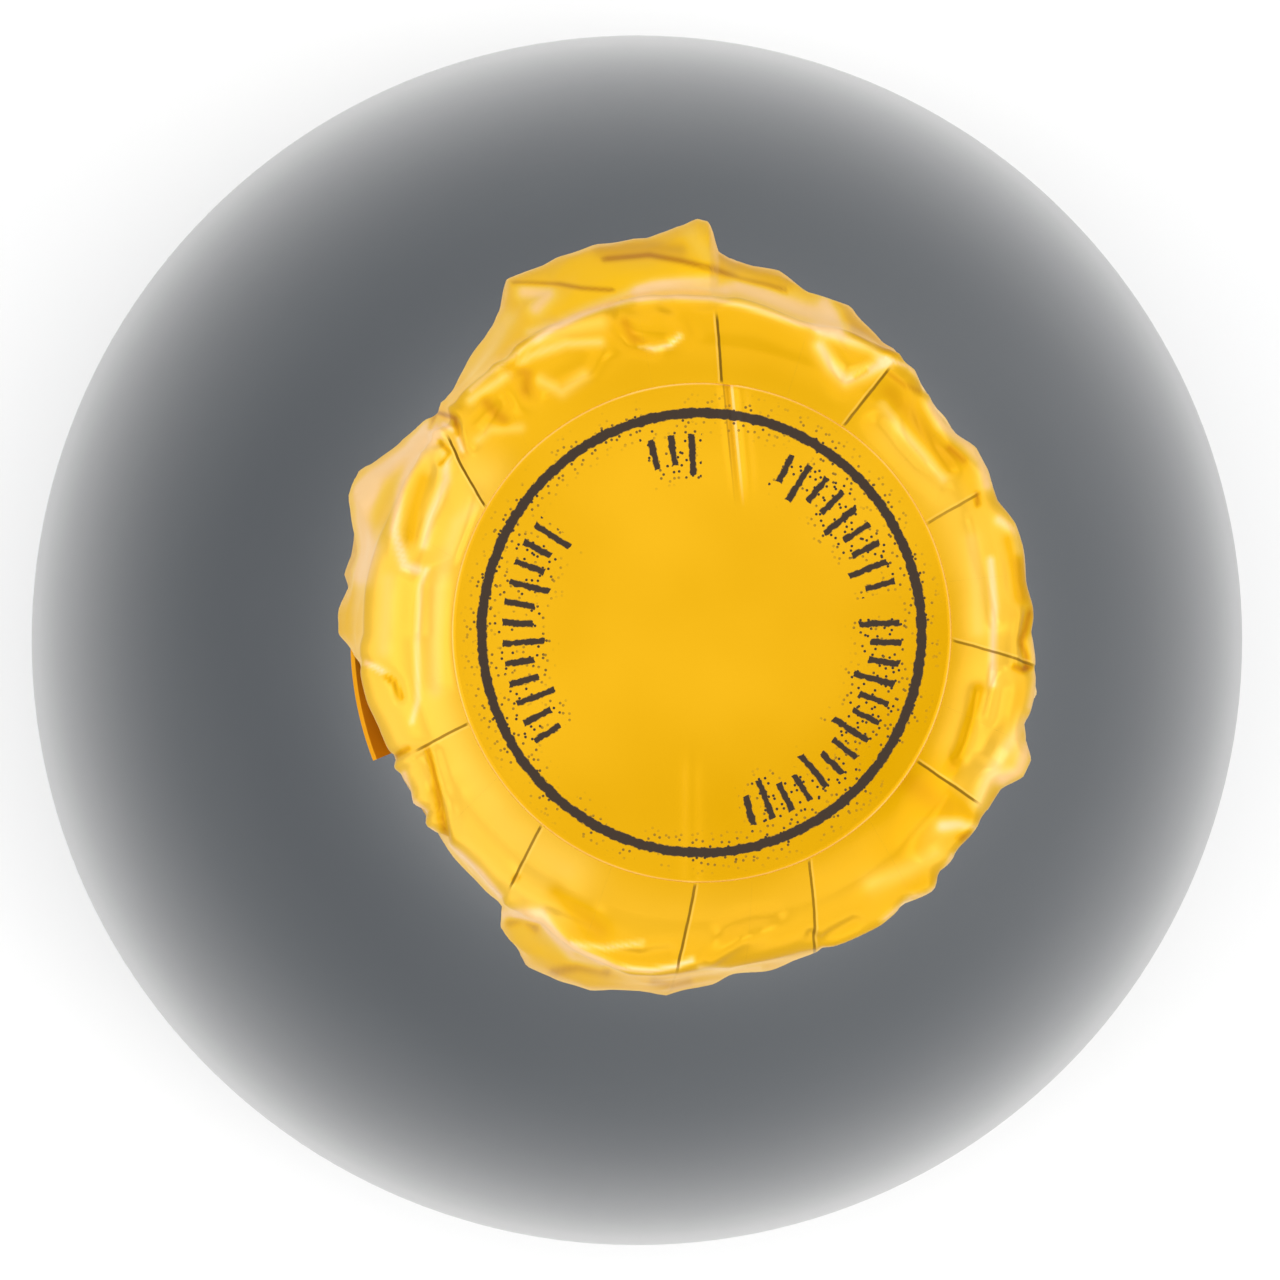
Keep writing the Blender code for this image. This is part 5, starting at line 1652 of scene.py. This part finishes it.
def key_strand(side):
    """One strand of the key, from the collar's bend to the top of the twist."""
    foot = COLLAR_HEIGHT + COLLAR_BEND
    inset = COLLAR_BEND * (1 - math.cos(math.pi / 4))
    points = [
        key_place(side * (KEY_STRAND_OFFSET + inset), 0, COLLAR_HEIGHT + inset),
        key_place(side * KEY_STRAND_OFFSET, 0, foot),
    ]
    steps = KEY_TURNS * TWIST_STEPS
    for step in range(1, steps + 1):
        turn = math.tau * KEY_TURNS * step / steps
        across = side * KEY_STRAND_OFFSET * math.cos(turn)
        reach = side * KEY_STRAND_OFFSET * math.sin(turn)
        points.append(key_place(across, reach, foot + KEY_PITCH * KEY_TURNS * step / steps))
    return points


def collar_points(collar_wire_radius):
    """The collar and its key, as one unbroken chain."""
    start = (KEY_STRAND_OFFSET + COLLAR_BEND) / KEY_RADIUS
    points = key_strand(1)[::-1]
    for turn in even_steps(start, math.tau - start, COLLAR_STEPS):
        angle = KEY_ANGLE + turn
        points.append(collar_radius(angle) * outwards(angle) + upwards(COLLAR_HEIGHT))
    points += key_strand(-1)
    twist_top = COLLAR_HEIGHT + COLLAR_BEND + KEY_TURNS * KEY_PITCH
    middle = twist_top + collar_wire_radius + KEY_LOOP_HEIGHT / 2
    for turn in even_steps(*KEY_LOOP_TURNS, KEY_LOOP_STEPS):
        across = KEY_LOOP_WIDTH / 2 * math.cos(turn)
        points.append(key_place(across, 0, middle + KEY_LOOP_HEIGHT / 2 * math.sin(turn)))
    return points


class MakeWirehood(Operator):
    """Make the four leg wires and the collar wire with its key"""

    bl_idname = "bottle.make_wirehood"
    bl_label = "Wirehood"

    def execute(self, context):
        settings = context.scene.bottle_wire
        material = wire_material()
        group = wire_tree("Round Wire")
        radius = settings.leg_wire_radius
        wire_top = PLATE_HIGH.z + radius
        corner = (STRAND_OFFSET + TOP_RING_CORNER) / TOP_RING_RADIUS
        for rank in range(LEG_COUNT):
            start = LEG_FIRST_ANGLE + math.tau * rank / LEG_COUNT
            end = start + math.tau / LEG_COUNT
            points = strand_points(start, 1, wire_top)
            for turn in even_steps(start + corner, end - corner, TOP_RING_STEPS):
                points.append(TOP_RING_RADIUS * outwards(turn) + upwards(wire_top))
            points += strand_points(end, -1, wire_top)[::-1]
            name, node = f"leg_wire_{rank + 1}", f"wirehood_wire_{rank + 1}"
            add_wire(name, points, radius, material, group, node)
        radius = settings.collar_wire_radius
        points = collar_points(radius)
        add_wire("collar_and_key_wire", points, radius, material, group, "collar_wire")
        return {"FINISHED"}


def photo_place(pixel):
    """Where a pixel of the photograph lies on the top's plane, from the ring's centre."""
    across, down = (np.array(pixel) - RING_CENTRE_PIXEL) / PIXELS_PER_MM * MM
    return Vector((across, -down, FOIL_TOP))


def aim(thing, place, turn):
    """Put a lamp or the camera in its place, turned."""
    thing.location = place
    thing.rotation_mode = "QUATERNION"
    thing.rotation_quaternion = turn


class MakeStage(Operator):
    """Make the floor, the light and the camera"""

    bl_idname = "bottle.make_stage"
    bl_label = "Stage"

    def execute(self, context):
        settings = context.scene.bottle_stage
        scene = context.scene
        mesh = bpy.data.meshes.new("floor")
        shape = bmesh.new()
        bmesh.ops.create_circle(shape, cap_ends=True, segments=FLOOR_SEGMENTS, radius=FLOOR_RADIUS)
        shape.to_mesh(mesh)
        shape.free()
        mesh.transform(Matrix.Translation((0, 0, -FLOOR_DROP)))
        mesh.materials.append(floor_material(settings.floor_colour))
        add_object("floor", mesh)

        data = bpy.data.cameras.new("camera")
        data.sensor_width = SENSOR_WIDTH
        data.lens = SENSOR_WIDTH * CAMERA_DISTANCE / (PHOTO_SIZE / PIXELS_PER_MM * MM)
        data.clip_start, data.clip_end = CLIP_RANGE
        place = photo_place(CAMERA_FOOT_PIXEL) + Vector((0, 0, CAMERA_DISTANCE))
        ahead = (photo_place((PHOTO_SIZE / 2, PHOTO_SIZE / 2)) - place).normalized()
        right = ahead.cross(Vector((0, 1, 0))).normalized()
        turn = Matrix((right, right.cross(ahead), -ahead)).transposed()
        scene.camera = add_object("camera", data)
        aim(scene.camera, place, turn.to_quaternion())

        for name, place in LAMP_PLACES.items():
            lamp = bpy.data.lights.new(name, "AREA")
            lamp.energy = settings.key_power
            lamp.shape = "RECTANGLE"
            lamp.size, lamp.size_y = LAMP_SIZES
            turn = (LAMP_AIM - Vector(place)).to_track_quat("-Z", "Y")
            aim(add_object(name, lamp), place, turn)
        scene.world = white_tent()
        scene.view_settings.view_transform = "Standard"
        return {"FINISHED"}


class BottlePanel(Panel):
    """Lists the bottle's pieces"""

    bl_label = "Sparkling Wine Bottle"
    bl_idname = "VIEW3D_PT_sparkling_bottle"
    bl_space_type = "VIEW_3D"
    bl_region_type = "UI"
    bl_category = "Bottle"

    def draw(self, context):
        for maker in MAKERS:
            self.layout.operator(maker.bl_idname)
        for name in SETTINGS:
            group = getattr(context.scene, name)
            box = self.layout.box()
            for key in group.bl_rna.properties.keys():
                if key not in ("rna_type", "name"):
                    box.prop(group, key)


SETTINGS = {
    "bottle_glass": BottleGlassSettings,
    "bottle_foil": BottleFoilSettings,
    "bottle_wire": BottleWireSettings,
    "bottle_stage": BottleStageSettings,
}
MAKERS = (
    MakeStage, MakeGlass, MakeCork, MakePlate, MakeWirehood, MakeFoilHood, MakeFoilDisc,
    MakeFoilNeck, MakeLabels,
)
CLASSES = (*SETTINGS.values(), *MAKERS, BottlePanel)


def register():
    """Register every class and the scene's settings."""
    for kind in CLASSES:
        bpy.utils.register_class(kind)
    for name, group in SETTINGS.items():
        setattr(bpy.types.Scene, name, PointerProperty(type=group))


def unregister():
    """Take everything back out."""
    for name in SETTINGS:
        delattr(bpy.types.Scene, name)
    for kind in reversed(CLASSES):
        bpy.utils.unregister_class(kind)


def main():
    """Make the bottle, piece by piece."""
    register()
    for maker in MAKERS:
        family, action = maker.bl_idname.split(".")
        getattr(getattr(bpy.ops, family), action)()


if __name__ == "__main__":
    main()
